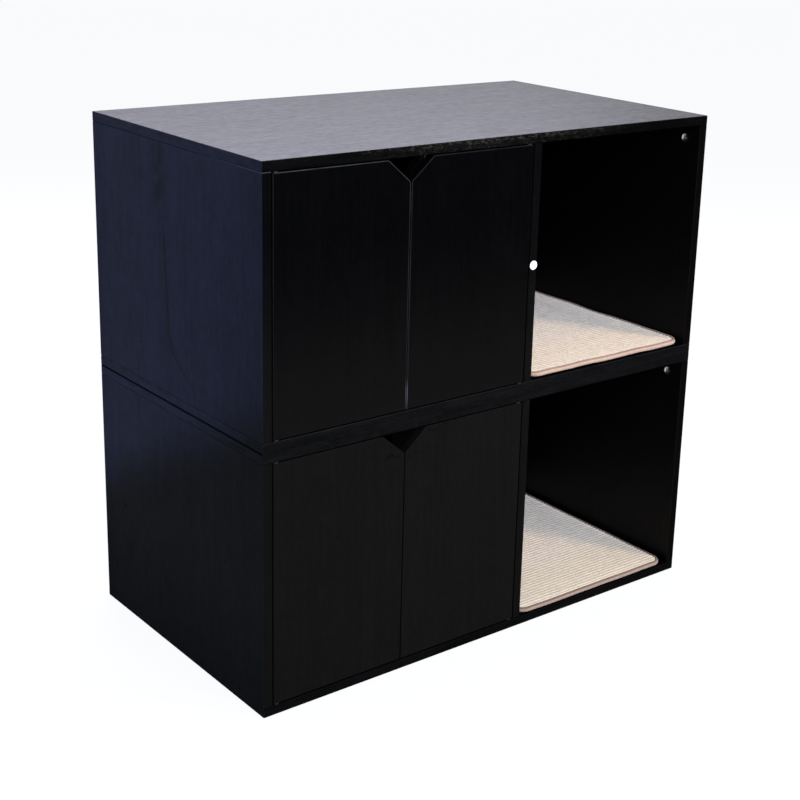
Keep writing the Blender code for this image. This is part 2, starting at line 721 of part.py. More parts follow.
def make_door(name, hand, cabinet):
    """One door with its pins and strike plate, all under an empty on its pivot axis."""
    axis_x = HINGES[hand]["axis_x"]
    free_side = HINGES[hand]["free_side"]
    door_name = f"{name}_{hand}_door"
    axis = add_empty(f"{door_name}_axis", (axis_x, AXIS_Y, 0), cabinet)
    hinged_edge = -free_side * AXIS_INSET
    free_edge = free_side * (DOOR_WIDTH - AXIS_INSET)
    corners = [
        (hinged_edge, DOOR_LOW, DOOR_CORNER_ROUND),
        (free_edge, DOOR_LOW, DOOR_CORNER_ROUND),
        (free_edge, DOOR_HIGH - NOTCH_DEPTH, NOTCH_ROUND),
        (free_edge - free_side * NOTCH_HALF_WIDTH, DOOR_HIGH, NOTCH_ROUND),
        (hinged_edge, DOOR_HIGH, DOOR_CORNER_ROUND),
    ]
    panel = plate_object(f"{door_name}_panel", rounded_outline(corners), BOARD)
    upright = Matrix.Rotation(math.pi / 2, 4, "X")
    place(panel, PARTS, axis, Matrix.Translation((0, DOOR_BACK - BOARD / 2, 0)) @ upright)
    ease_edges(panel)
    give_finish(panel, "black_board")
    pin_holes = [
        (DOOR_LOW * Z_AXIS, Z_AXIS, PIN_RADIUS + SEAT, PIN_IN_DOOR + SEAT),
        (DOOR_HIGH * Z_AXIS, -Z_AXIS, PIN_RADIUS + SEAT, PIN_IN_DOOR + SEAT),
    ]
    drill(panel, f"{door_name}_pin_holes", pin_holes)
    make_pivots(door_name, axis, (axis_x, AXIS_Y), cabinet)
    make_strike(door_name, panel, free_side, axis)


# Carpet mats


def make_mat(name, from_right, setback, cabinet):
    """A carpet mat with rounded corners, lying loose on the floor of the bay."""
    x = MAT_WIDTH / 2
    y = MAT_DEPTH / 2
    corners = [(-x, -y), (x, -y), (x, y), (-x, y)]
    outline = rounded_outline([(*corner, MAT_CORNER_ROUND) for corner in corners])
    mat = plate_object(f"{name}_mat", outline, MAT_THICKNESS)
    middle_x = RIGHT_INNER - from_right - x
    middle_y = FRONT + setback + y
    middle_z = BOARD + SEAT + MAT_THICKNESS / 2
    place(mat, PARTS, cabinet, Matrix.Translation((middle_x, middle_y, middle_z)))
    give_finish(mat, "carpet")


# Assembly


def make_cabinet(name, floor, mat_from_right, mat_setback):
    cabinet = add_empty(f"{name}_cabinet_origin", (0, 0, floor))
    is_upper = name == "upper"
    make_top_panel(name, cabinet, not is_upper)
    make_bottom_panel(name, cabinet, is_upper)
    make_side_panel(name, "left_side", cabinet)
    make_side_panel(name, "right_side", cabinet)
    divider = make_divider(name, cabinet)
    make_back_panel(name, cabinet)
    make_cam_locks(name, cabinet)
    make_catches(name, cabinet)
    for hand in HINGES:
        make_door(name, hand, cabinet)
    make_mat(name, mat_from_right, mat_setback, cabinet)
    if is_upper:
        make_cap(name, divider, cabinet)


clear_scene()
PARTS = make_collection("cat_litter_box_enclosure")
CUTTERS = make_collection("cutters")
for cabinet_name, places in CABINETS.items():
    make_cabinet(cabinet_name, **places)
bpy.context.view_layer.update()
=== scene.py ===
# %% [markdown]
# # A black cabinet that hides cat litter boxes
# The CAD model already has every board, door, hinge pin, cam lock and catch at its true size. This lesson
# dresses it: it sets up a camera and a small studio, gives each piece a finish, and makes what a CAD model
# leaves plain, which here is the carpet mats and the small fasteners.

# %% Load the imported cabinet
import math

import bmesh
import bpy
from mathutils import Matrix, Vector, noise


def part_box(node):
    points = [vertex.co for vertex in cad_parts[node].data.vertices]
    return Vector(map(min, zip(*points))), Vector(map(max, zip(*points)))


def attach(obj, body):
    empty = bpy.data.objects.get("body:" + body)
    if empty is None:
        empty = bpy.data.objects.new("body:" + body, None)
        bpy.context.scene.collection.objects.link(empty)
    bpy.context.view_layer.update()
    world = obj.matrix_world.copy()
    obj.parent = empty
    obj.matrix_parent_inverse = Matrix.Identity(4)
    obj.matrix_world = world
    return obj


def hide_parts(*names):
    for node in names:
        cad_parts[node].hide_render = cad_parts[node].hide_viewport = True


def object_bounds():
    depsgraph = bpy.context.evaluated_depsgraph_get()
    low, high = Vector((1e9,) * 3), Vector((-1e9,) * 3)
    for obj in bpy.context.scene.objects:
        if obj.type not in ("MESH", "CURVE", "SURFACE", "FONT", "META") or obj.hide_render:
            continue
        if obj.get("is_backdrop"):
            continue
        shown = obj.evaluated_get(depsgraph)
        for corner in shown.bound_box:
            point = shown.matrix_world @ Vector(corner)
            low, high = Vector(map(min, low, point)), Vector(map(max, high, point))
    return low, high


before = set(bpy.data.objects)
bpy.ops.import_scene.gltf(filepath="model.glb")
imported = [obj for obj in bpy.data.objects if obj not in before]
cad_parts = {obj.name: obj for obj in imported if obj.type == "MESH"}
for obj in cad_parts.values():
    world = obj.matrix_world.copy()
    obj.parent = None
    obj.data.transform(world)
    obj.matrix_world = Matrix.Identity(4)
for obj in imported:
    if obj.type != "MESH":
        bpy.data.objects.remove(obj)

cad_low, cad_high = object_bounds()
print("cabinet from", tuple(cad_low), "to", tuple(cad_high))

# %% [markdown]
# ## Camera
# A camera is placed by its bearing round the cabinet, its height above the horizon and a small roll, as a
# photographer would say it. Those three turns, multiplied in that order, make its rotation. The lens shift
# slides the picture on the sensor without turning the camera, so upright boards keep their slant.

# %% Camera
CAMERA_PLACE = (-1.4490, -1.8748, 1.1633)
CAMERA_BEARING = math.radians(-39.83)
CAMERA_TILT = math.radians(16.34)
CAMERA_ROLL = math.radians(1.97)
SENSOR_WIDTH = 36
FOCAL_LENGTH = 67.59
LENS_SHIFT = (-0.0748, -0.0968)

camera_data = bpy.data.cameras.new("camera")
camera_data.sensor_width = SENSOR_WIDTH
camera_data.lens = FOCAL_LENGTH
camera_data.shift_x, camera_data.shift_y = LENS_SHIFT
camera = bpy.data.objects.new("camera", camera_data)
bearing = Matrix.Rotation(CAMERA_BEARING, 3, "Z")
tilt = Matrix.Rotation(math.pi / 2 - CAMERA_TILT, 3, "X")
roll = Matrix.Rotation(CAMERA_ROLL, 3, "Z")
camera.rotation_euler = (bearing @ tilt @ roll).to_euler()
camera.location = CAMERA_PLACE
bpy.context.scene.collection.objects.link(camera)
bpy.context.scene.camera = camera
print("camera", round(camera.location.length, 2), "m from the foot of the cabinet")

# %% [markdown]
# ## Shader maths in Python
# A material is a graph of nodes. Written by hand, each sum needs a node, two links and a setting. The first
# class below wraps a node's output so that Python's own operators add those nodes: `1 - mask` is a Subtract
# node. Every other node comes from one method, which takes the kind of node, its settings and what goes into
# its sockets. That method belongs to any graph, so that the room's light is built with it as well.

# %% Outputs that can be added and multiplied
class Wire:
    """A node's output in a graph."""

    def __init__(self, graph, socket):
        self.graph = graph
        self.socket = socket

    def maths(self, operation, first, second):
        return self.graph.node("ShaderNodeMath", {"operation": operation}, {0: first, 1: second})

    def __add__(self, other):
        return self.maths("ADD", self, other)

    def __sub__(self, other):
        return self.maths("SUBTRACT", self, other)

    def __rsub__(self, other):
        return self.maths("SUBTRACT", other, self)

    def __mul__(self, other):
        return self.maths("MULTIPLY", self, other)

    __radd__ = __add__
    __rmul__ = __mul__

    def __abs__(self):
        return self.maths("ABSOLUTE", self, 0.0)

    def __gt__(self, other):
        return self.maths("GREATER_THAN", self, other)

    def __lt__(self, other):
        return self.maths("LESS_THAN", self, other)

    def smaller(self, other):
        return self.maths("MINIMUM", self, other)

    def larger(self, other):
        return self.maths("MAXIMUM", self, other)


# %% A graph, built node by node
class Graph:
    """The nodes of a material or of the room."""

    def __init__(self, tree):
        self.tree = tree

    def node(self, kind, settings, sockets, output=0):
        """Adds a node, sets it up, then fills its sockets with values or with links."""
        made = self.tree.nodes.new(kind)
        for name, value in settings.items():
            setattr(made, name, value)
        for name, value in sockets.items():
            if isinstance(value, Wire):
                self.tree.links.new(value.socket, made.inputs[name])
            else:
                made.inputs[name].default_value = value
        return Wire(self, made.outputs[output])

    def seen(self):
        """1 for what is looked at, straight, mirrored or through glass, and 0 for what only gives light."""
        ways = ("Is Camera Ray", "Is Glossy Ray", "Is Transmission Ray")
        straight, mirrored, through = (self.node("ShaderNodeLightPath", {}, {}, output=way) for way in ways)
        return straight.larger(mirrored).larger(through)


# %% A finish is a graph round one shader
# A Mix node has sockets for numbers, vectors and colours. These are the numbers of its colour sockets.
MIX_SHARE, MIX_FIRST, MIX_SECOND, MIX_RESULT = 0, 6, 7, 2


class Finish(Graph):
    """A material with one Principled shader, whose sockets hold a fixed value or follow a wire."""

    def __init__(self, name, fixed):
        self.material = bpy.data.materials.new(name)
        self.material.use_nodes = True
        super().__init__(self.material.node_tree)
        self.shader = self.tree.nodes["Principled BSDF"]
        for socket, value in fixed.items():
            self.shader.inputs[socket].default_value = value

    def split(self, source):
        """The x, y and z of one of the ways to look up a point."""
        vector = self.node("ShaderNodeTexCoord", {}, {}, output=source)
        return [self.node("ShaderNodeSeparateXYZ", {}, {"Vector": vector}, output=axis) for axis in "XYZ"]

    def place(self):
        """Where a point of the surface lies on the cabinet at rest, in metres."""
        return self.split("Object")

    def facing(self):
        """The way the surface faces, as x, y and z."""
        return self.split("Normal")

    def cloud(self, x, y, z, detail=2.0, roughness=0.5, distortion=0.0):
        """Noise from 0 to 1, whose blobs are about one unit across in x, y and z."""
        point = self.node("ShaderNodeCombineXYZ", {}, {"X": x, "Y": y, "Z": z})
        sockets = {"Vector": point, "Scale": 1.0, "Detail": detail}
        sockets.update({"Roughness": roughness, "Distortion": distortion})
        return self.node("ShaderNodeTexNoise", {"noise_dimensions": "3D"}, sockets)

    def step(self, value, low, high):
        """0 at low, 1 at high, whichever is larger, and smooth between."""
        sockets = {"Value": value, "From Min": low, "From Max": high, "To Min": 0.0, "To Max": 1.0}
        return self.node("ShaderNodeMapRange", {"interpolation_type": "SMOOTHSTEP"}, sockets)

    def mix(self, share, first, second):
        """A colour between two colours."""
        sockets = {MIX_SHARE: share, MIX_FIRST: first, MIX_SECOND: second}
        return self.node("ShaderNodeMix", {"data_type": "RGBA"}, sockets, output=MIX_RESULT)

    def varies(self, socket, value):
        """Lets a wire decide what one of the shader's sockets holds."""
        self.tree.links.new(value.socket, self.shader.inputs[socket])

    def emboss(self, height, depth):
        """Bumps the surface by a height from 0 to 1 times a depth in metres."""
        sockets = {"Strength": 1.0, "Distance": depth, "Height": height}
        self.varies("Normal", self.node("ShaderNodeBump", {}, sockets))


def grey(value, tint=1.0):
    """A near-neutral colour. A tint above 1 makes it bluer."""
    return (value, value, value * tint, 1.0)


# %% [markdown]
# ## Studio
# The cabinet stands on a pale floor in an even, slightly blue room light, as on a seamless paper sweep. Both
# the floor and the room look white, but light the cabinet less strongly than that: they ask of each ray
# whether it is looking or only gathering light. Four lamps do the rest: a small warm one at the front right
# lights the mats, a broad cool one fills in from the front, a broad one high behind gives the top its sheen,
# and a weak one at the rear left is there to be mirrored in the side. Black board shows almost nothing but
# what it mirrors, so the lamps are placed for their reflections first.

# %% Floor
FLOOR_RADIUS = 30.0
FLOOR_SIDES = 48
FLOOR_DROP = 0.0002
FLOOR_GLOW = 0.90

angles = [math.tau * side / FLOOR_SIDES for side in range(FLOOR_SIDES)]
floor_rim = [(FLOOR_RADIUS * math.cos(a), FLOOR_RADIUS * math.sin(a), -FLOOR_DROP) for a in angles]
floor_mesh = bpy.data.meshes.new("floor")
floor_mesh.from_pydata(floor_rim, [], [list(range(FLOOR_SIDES))])
floor = bpy.data.objects.new("floor", floor_mesh)
bpy.context.scene.collection.objects.link(floor)
floor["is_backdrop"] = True

paper = Finish("floor_paper", {"Base Color": grey(0.86), "Roughness": 0.9, "Specular IOR Level": 0.1})
glow = paper.node("ShaderNodeEmission", {}, {"Color": grey(1.0), "Strength": 1.0})
shares = {0: paper.seen() * FLOOR_GLOW, 1: Wire(paper, paper.shader.outputs[0]), 2: glow}
lifted = paper.node("ShaderNodeMixShader", {}, shares)
paper.tree.links.new(lifted.socket, paper.tree.nodes["Material Output"].inputs["Surface"])
floor_mesh.materials.append(paper.material)
print("floor radius", FLOOR_RADIUS)

# %% Room light
ROOM_COLOUR = (0.56, 0.615, 0.765, 1.0)

world = bpy.data.worlds.new("room")
world.use_nodes = True
bpy.context.scene.world = world
room = Graph(world.node_tree)
room.tree.nodes.remove(room.tree.nodes["Background"])
room_light = room.node("ShaderNodeBackground", {}, {"Color": ROOM_COLOUR})
backdrop = room.node("ShaderNodeBackground", {}, {"Color": grey(1.0)})
chosen = room.node("ShaderNodeMixShader", {}, {0: room.seen(), 1: room_light, 2: backdrop})
room.tree.links.new(chosen.socket, room.tree.nodes["World Output"].inputs["Surface"])
bpy.context.scene.view_settings.view_transform = "Standard"
print("room colour", ROOM_COLOUR[:3])

# %% Lamps
MIDDLE = Vector((0, 0, 0.4))


def add_lamp(name, bearing, height, distance, size, watts, colour):
    """An area lamp that looks at the cabinet, with its bearing and height in degrees: 90 is on the right."""
    bearing = math.radians(bearing)
    height = math.radians(height)
    level = math.cos(height)
    towards = Vector((math.sin(bearing) * level, -math.cos(bearing) * level, math.sin(height)))
    data = bpy.data.lights.new(name, "AREA")
    data.shape = "RECTANGLE"
    data.size, data.size_y = size
    data.energy = watts
    data.color = colour
    lamp = bpy.data.objects.new(name, data)
    lamp.location = MIDDLE + towards * distance
    lamp.rotation_euler = towards.to_track_quat("Z", "Y").to_euler()
    lamp.visible_camera = False
    bpy.context.scene.collection.objects.link(lamp)
    print("lamp", name, tuple(round(v, 2) for v in lamp.location))


add_lamp("front_lamp", 32, 39.7, 5.2, (0.80, 0.80), 104, (1.0, 0.765, 0.50))
add_lamp("fill_lamp", -12, 28, 3.2, (2.4, 1.4), 142, (0.705, 0.79, 1.0))
add_lamp("rear_lamp", 152, 42, 3.2, (2.4, 1.0), 94, (0.776, 0.767, 1.0))
add_lamp("left_lamp", -125, 14, 3.0, (2.0, 1.0), 33, (0.78, 0.86, 1.0))

# %% [markdown]
# ## Black board
# The boards are particle board under black melamine, pressed with a fine oak grain: short pores, longer
# streaks and slow bands, all drawn out along the board. One noise each does it, stretched by dividing the
# place along the grain by a long length and the place across it by a short one. A clear coat on top gives
# the sheen, and varying how much coat there is lets one board be glossier on its face than on the strips
# glued to its edges.

# %% Tones and coats
COATED = {"Specular IOR Level": 0.0, "Coat IOR": 1.22, "Coat Roughness": 0.42}
BLACK = (0.00086, 0.00086, 0.00090)
OLIVE_FLECK = (0.026, 0.021, 0.014, 1)
STRIP_COAT = 0.05


def colour(tone, share=1.0):
    """A tone, or a share or a multiple of it, as a colour."""
    return (*(share * part for part in tone), 1.0)


def toned(finish, tone):
    """A tone with the board's grain in it."""
    return finish.mix(finish.pattern * 0.5, grey(0.0), colour(tone, 2))


def recolour(finish, share, light):
    """Lays one more colour over what a finish already shows."""
    finish.base = finish.mix(share, finish.base, light)
    finish.varies("Base Color", finish.base)


def recoat(finish, share, weight):
    """Puts another weight of clear coat on a share of the surface."""
    finish.coat = finish.coat + share * (weight - finish.coat)
    finish.varies("Coat Weight", finish.coat)


# %% Grain
WIDTHWAYS, UPRIGHT = 0, 2
# The length along the grain and the width across it, in metres.
PORE = (0.012, 0.0016)
STREAK = (0.11, 0.0045)
BAND = (0.45, 0.034)
MOTTLE = (0.014, 0.008)
DASH = (0.010, 0.0018)
GRAIN_DEPTH = 0.00016
# Each board starts this much further on in the noise, so that no two boards have the same grain.
BOARD_SHIFT = 17.3


def press_grain(finish, grain, contrast):
    """Gives a board its pattern, gloss, roughness and bump along its grain, and returns its dashes."""
    place = finish.spot
    shift = BOARD_SHIFT * len(bpy.data.materials)
    along = place[grain]
    across = [place[i] for i in range(3) if i != grain]
    if grain == WIDTHWAYS:
        # On the ends of such a board the grain of the glued strip runs from front to back.
        is_end = abs(finish.directions[0]) > 0.7
        along = along + is_end * (place[1] - along)
        across[0] = across[0] + is_end * (place[grain] - across[0])

    def grained(size, detail, offset, distortion=0.0):
        length, width = size
        a = along * (1 / length) + (shift + offset)
        b = across[0] * (1 / width) + offset
        c = across[1] * (1 / width) + shift
        return finish.cloud(a, b, c, detail, 0.6, distortion)

    finish.grained = grained
    pores = finish.step(grained(PORE, 2.0, 3.1), 0.55, 0.68)
    streaks = grained(STREAK, 4.0, 11.7, 0.5)
    bands = grained(BAND, 2.0, 23.9)
    mottle = grained(MOTTLE, 3.0, 41.0)
    blotch = finish.cloud(*[p * 22 + shift for p in place], 3.0)
    dashes = finish.step(grained(DASH, 2.0, 31.3), 0.52, 0.70) * finish.step(bands, 0.42, 0.58)
    uneven = (streaks - 0.5) * 1.3 + (mottle - 0.5) * 0.9 + (bands - 0.5) * 0.9
    uneven = uneven + (blotch - 0.5) * 0.8 - pores * 0.3
    finish.pattern = 1 + uneven * contrast
    finish.gloss = 1 + ((streaks - 0.5) * 0.55 + (mottle - 0.5) * 0.60 - pores * 0.06) * contrast
    finish.varies("Roughness", 0.55 + streaks * 0.15)
    relief = streaks * 0.5 + bands * 0.25 + mottle * 0.25 + dashes * 0.5 - pores * 0.4
    finish.emboss(relief, GRAIN_DEPTH * contrast)
    return dashes


# %% How a board looks
def board_look(node, grain, front, coat=0.10, strip=0.0012, flecks=0.0, inside=0.08, contrast=1.0):
    """Black melamine with `coat` on the face along `front`, an axis and a sign, and `inside` behind it."""
    finish = Finish(f"{node}_melamine", COATED)
    finish.low, finish.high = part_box(node)
    finish.spot = finish.place()
    facing = finish.directions = finish.facing()
    thin, sign = front
    is_front = facing[thin] * sign > 0.5
    is_strip = 1 - (abs(facing[thin]) > 0.5)
    dashes = press_grain(finish, grain, contrast)
    finish.base = finish.mix(is_strip, toned(finish, BLACK), toned(finish, (strip, strip, strip)))
    recolour(finish, dashes * is_strip * (facing[1] < -0.7) * flecks, OLIVE_FLECK)
    weight = is_front * (coat - inside) + inside
    finish.coat = (weight + is_strip * (STRIP_COAT - weight)) * finish.gloss
    finish.varies("Coat Weight", finish.coat)
    return finish


def dress(node, material):
    """Gives a CAD node its one material."""
    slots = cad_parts[node].data.materials
    slots.clear()
    slots.append(material)


# %% Boards of the two cabinets
# The axis that a face looks along, and the sign of its direction.
UPWARD, DOWNWARD, LEFTWARD, RIGHTWARD, FORWARD = (2, 1), (2, -1), (0, -1), (0, 1), (1, -1)
boards = {
    "lower_top_panel": (WIDTHWAYS, UPWARD, {"strip": 0.0027, "flecks": 0.10}),
    "lower_bottom_panel": (WIDTHWAYS, DOWNWARD, {"strip": 0.0020, "flecks": 0.10}),
    "lower_left_side_panel": (UPRIGHT, LEFTWARD, {"contrast": 0.60}),
    "lower_right_side_panel": (UPRIGHT, RIGHTWARD, {"inside": 0.55, "contrast": 0.60}),
    "lower_divider_panel": (UPRIGHT, RIGHTWARD, {}),
    "lower_left_door_panel": (UPRIGHT, FORWARD, {}),
    "lower_right_door_panel": (UPRIGHT, FORWARD, {"coat": 0.12}),
    "upper_top_panel": (WIDTHWAYS, UPWARD, {"coat": 1.0, "strip": 0.0015, "flecks": 0.15}),
    "upper_bottom_panel": (WIDTHWAYS, DOWNWARD, {"strip": 0.0028, "flecks": 0.10}),
    "upper_left_side_panel": (UPRIGHT, LEFTWARD, {"contrast": 0.60}),
    "upper_right_side_panel": (UPRIGHT, RIGHTWARD, {"inside": 0.45, "contrast": 0.60}),
    "upper_divider_panel": (UPRIGHT, RIGHTWARD, {"strip": 0.0016}),
    "upper_left_door_panel": (UPRIGHT, FORWARD, {"coat": 0.05, "contrast": 0.65}),
    "upper_right_door_panel": (UPRIGHT, FORWARD, {"coat": 0.045, "contrast": 0.65}),
}
looks = {}
for node, (grain, front, values) in boards.items():
    looks[node] = board_look(node, grain, front, **values)
    dress(node, looks[node].material)
print("boards dressed:", len(looks))

# %% [markdown]
# ## Painted cool sheen of the sides
# The sides get a painted deep navy sheen at the top and the back, which stands in for the cool light from the
# rear left mirrored in them. It turns neutral below a slanting line, then duller towards the floor. That is
# one smooth step along height plus half the depth. The small bevels round each face get a painted highlight,
# and where the two cabinets meet there is a dark line.

# %% Painted navy sheen of the sides
# Colours of the painted navy sheen, full and dim.
NAVY_SHEEN = (0.0030, 0.0049, 0.0142)
DIM_NAVY_SHEEN = (0.0016, 0.0022, 0.0031)
MARK = colour(BLACK, 0.5)
SHEEN_STARTS, SHEEN_IS_FULL = 0.275, 0.405
SIDE_COAT, SHEEN_COAT, JOINT_COAT = 0.14, 0.12, 0.02
JOINT_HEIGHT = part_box("lower_top_panel")[1].z
JOINT_STARTS, JOINT_IS_FULL = 0.0026, 0.0012


def paint_side_sheen(look, is_outer):
    """Paints a navy sheen and bevel highlights on the outer faces of a board, where is_outer is 1."""
    x, y, z = look.spot
    # Painted sheen: the navy stands in for the cool light from the rear left mirrored in the side, strongest
    # high up and at the back.
    navy_sheen = look.step(z + y * 0.5, SHEEN_STARTS, SHEEN_IS_FULL) * (1 - look.step(y, -0.12, -0.24) * 0.2)
    recolour(look, is_outer, look.mix(navy_sheen, toned(look, DIM_NAVY_SHEEN), toned(look, NAVY_SHEEN)))
    dull = (1 - look.step(z, 0.22, 0.0) * 0.45) * (1 - look.step(y, 0.18, 0.24) * 0.15)
    recoat(look, is_outer, (navy_sheen * SHEEN_COAT + SIDE_COAT) * dull * look.gloss)
    # Painted highlight on the small bevels round each outer face.
    bevel_highlight = is_outer * (abs(look.directions[0]) < 0.95)
    recolour(look, bevel_highlight, look.mix(navy_sheen, colour(DIM_NAVY_SHEEN, 1.6), colour(NAVY_SHEEN, 1.5)))
    joint = is_outer * look.step(abs(z - JOINT_HEIGHT), JOINT_STARTS, JOINT_IS_FULL)
    recolour(look, joint * 0.8, MARK)
    recoat(look, joint * 0.8, JOINT_COAT)


sheen_painted = 0
for node, look in looks.items():
    if "door" in node or "divider" in node:
        continue
    sideways = look.directions[0]
    if "side" in node:
        is_outer = sideways * (1 if "right" in node else -1) > 0.5
    else:
        is_outer = abs(sideways) > 0.5
    paint_side_sheen(look, is_outer)
    sheen_painted += 1
print("boards tinted:", sheen_painted)

# %% [markdown]
# ## Painted light on the doors
# The front rims of the upper doors get a painted highlight, so they draw a fine pale outline with a Y where
# the cut corners meet. The rim is found from distances: how far a point is from the door's outline, and how
# far behind its front. Lower down the fronts get a painted reflection of the lit floor, lighter and a little
# warm, and hands have left smudges round the notches, where less of it is painted.

# %% Distances on a door
NOTCH_HALF_WIDTH = 0.039
NOTCH_DEPTH = 0.0335
NOTCH_SLOPE = math.hypot(NOTCH_HALF_WIDTH, NOTCH_DEPTH)


def distance_inside(place, low, high):
    """How far a point is from the nearer of two ends."""
    return (place - low).smaller(high - place)


def distance_from_notch(look, free, free_x):
    """How far a point of a door is from the slanting cut of its top corner."""
    x, y, z = look.spot
    sideways = (x - free_x) * (free * NOTCH_DEPTH / NOTCH_SLOPE)
    upwards = (z - look.high.z) * (NOTCH_HALF_WIDTH / NOTCH_SLOPE)
    return 0 - (sideways + upwards) - NOTCH_DEPTH * NOTCH_HALF_WIDTH / NOTCH_SLOPE


# %% Painted rim highlights, painted floor reflection and smudges
# Colours of the painted floor reflection and of the painted edge highlight.
FLOOR_REFLECTION = (0.0098, 0.0092, 0.0080, 1)
EDGE_HIGHLIGHT = grey(0.030, 1.02)
RIM_STARTS, RIM_IS_FULL = 0.0016, 0.0006
# Heights where the painted floor reflection starts and is full.
FLOOR_REFLECTION_STARTS, FLOOR_REFLECTION_IS_FULL = 0.71, 0.38
HANDS_START, HANDS_ARE_FULL = 0.055, 0.005


def paint_door_light(look, free, free_x, hinge_x, rim_light):
    """Paints a reflection of the lit floor lower down a door's front and a highlight on its rim. `free` is 1
    where its free edge is on its right, or else -1.
    """
    x, y, z = look.spot
    foot, head = look.low.z, look.high.z
    from_notch = distance_from_notch(look, free, free_x)
    from_outline = distance_inside(x, look.low.x, look.high.x).smaller(distance_inside(z, foot, head))
    from_rim = from_outline.smaller(from_notch).larger(y - look.low.y)
    # Noise that breaks up the painted rim highlight.
    lit_patchily = look.step(look.cloud(x * 30, y * 30, z * 30, 3.0, 0.6), 0.30, 0.60) * 0.45 + 0.55
    higher = look.step(z, foot, foot + 0.05) * 0.65 + look.step(z, foot, head) * 0.35
    # Painted highlight along the front rim, stronger higher up and away from the hinge.
    rim_highlight = look.step(from_rim, RIM_STARTS, RIM_IS_FULL) * lit_patchily * rim_light
    rim_highlight = rim_highlight * higher * (look.step(z, 0.55, 0.68) * 0.4 + 0.6)
    rim_highlight = rim_highlight * (look.step(abs(x - hinge_x), 0.0012, 0.004) * 0.78 + 0.22)
    # Painted reflection of the lit floor, lighter and warmer lower down. Hand smudges round the notch take
    # some of it away.
    floor_reflection = look.step(z, FLOOR_REFLECTION_STARTS, FLOOR_REFLECTION_IS_FULL) * (look.pattern * 0.15 + 0.85)
    prints = look.step(look.cloud(x * 80, y, z * 80, 2.0), 0.56, 0.66)
    hands = look.step(from_notch, HANDS_START, HANDS_ARE_FULL) * prints
    recolour(look, floor_reflection * (0.29 - 0.16 * hands), FLOOR_REFLECTION)
    recolour(look, rim_highlight, EDGE_HIGHLIGHT)


def paint_gap_light(look, free_x):
    """Painted light inside the gap between the upper doors, brightest a little above its foot."""
    x, y, z = look.spot
    foot = look.low.z
    in_gap = look.step(abs(x - free_x), 0.0012, 0.0006) * look.step(y - look.low.y, 0.0045, 0.0030)
    near_foot = look.step(z, foot + 0.050, foot + 0.028) * (look.step(z, foot, foot + 0.022) * 0.7 + 0.3)
    # Painted light in the gap, faint above and brightest near the foot.
    recolour(look, in_gap * look.step(z, 0.70, 0.62) * 0.26, grey(0.026, 1.02))
    recolour(look, in_gap * near_foot, grey(0.052, 1.02))


# How strong the painted rim highlight is on each door.
for cabinet, left_rim_light, right_rim_light in (("lower", 0.05, 0.07), ("upper", 0.95, 0.32)):
    for hand, free, rim_light in (("left", 1, left_rim_light), ("right", -1, right_rim_light)):
        look = looks[f"{cabinet}_{hand}_door_panel"]
        edges = (look.low.x, look.high.x)
        hinge_x, free_x = edges[::free]
        paint_door_light(look, free, free_x, hinge_x, rim_light)
        if cabinet == "upper":
            paint_gap_light(look, free_x)
print("doors worn")

# %% [markdown]
# ## Painted edge highlights and painted reflection on the front strips
# Where the two cabinets meet, the long front edges get a painted highlight in places, which shows as thin
# broken lines. A step over the last millimetre of the board's height finds such an edge, and noise breaks it
# up. The front strips of the sides and dividers get lighter and a little brown towards the floor, a painted
# reflection of the lit floor, as the doors do.

# %% Painted edge highlights and painted reflection on the front strips
EDGE_STARTS, EDGE_IS_FULL = 0.0012, 0.0004
# Heights where the painted reflection on the front strips starts and is full.
STRIP_REFLECTION_STARTS, STRIP_REFLECTION_IS_FULL = 0.74, 0.45


def top_edge(look):
    """1 along the top edge of a board."""
    return look.step(look.spot[2], look.high.z - EDGE_STARTS, look.high.z - EDGE_IS_FULL)


def bottom_edge(look):
    """1 along the bottom edge of a board."""
    return look.step(look.spot[2], look.low.z + EDGE_STARTS, look.low.z + EDGE_IS_FULL)


# How strong the painted highlight is on the top and bottom front edges.
for node, top_light, bottom_light in (("upper_bottom_panel", 0.30, 0.10), ("lower_top_panel", 0.10, 0.0)):
    look = looks[node]
    x, y, z = look.spot
    lit_patchily = look.step(look.cloud(x * 40, y * 40, z * 200, 3.0, 0.6), 0.30, 0.60) * 0.5 + 0.5
    edges = top_edge(look) * top_light + bottom_edge(look) * bottom_light
    recolour(look, edges * lit_patchily * (look.directions[1] < -0.3), EDGE_HIGHLIGHT)
for node in ("lower_left_side_panel", "upper_left_side_panel", "lower_divider_panel", "upper_divider_panel"):
    look = looks[node]
    # Painted reflection of the lit floor on the front strips, lighter lower down.
    dull = look.step(look.spot[2], STRIP_REFLECTION_STARTS, STRIP_REFLECTION_IS_FULL)
    dull = dull * (look.directions[1] < -0.7) * (look.pattern * 0.3 + 0.7)
    recolour(look, dull * 0.21, FLOOR_REFLECTION)
print("edges worn, front strips dulled")

# %% [markdown]
# ## Painted glints on the top board's front strip
# The strip along the front of the top has small painted glints, where its coarse grain catches the light,
# most of them round its middle and in its upper half, and its right end is darker. The glints are the board's
# own grain once more, drawn finer, and steps along the width and the height keep them to their place.

# %% Painted glints on the top board's front strip
GLINT = (0.006, 0.0013)
# The colour of the painted glints.
GLINT_HIGHLIGHT = (0.046, 0.041, 0.030, 1)

look = looks["upper_top_panel"]
x, y, z = look.spot
near_middle = look.step(x, -0.30, -0.13) * look.step(x, 0.30, 0.06)
glints = look.step(look.grained(GLINT, 3.0, 57.0), 0.44, 0.68) * (y < look.low.y + 0.0005)
patchy = look.step(look.cloud(x * 90, y * 90, z * 160, 2.0), 0.36, 0.62)
upper_part = look.step(z, look.high.z - 0.0085, look.high.z - 0.0045) * 0.75 + 0.25
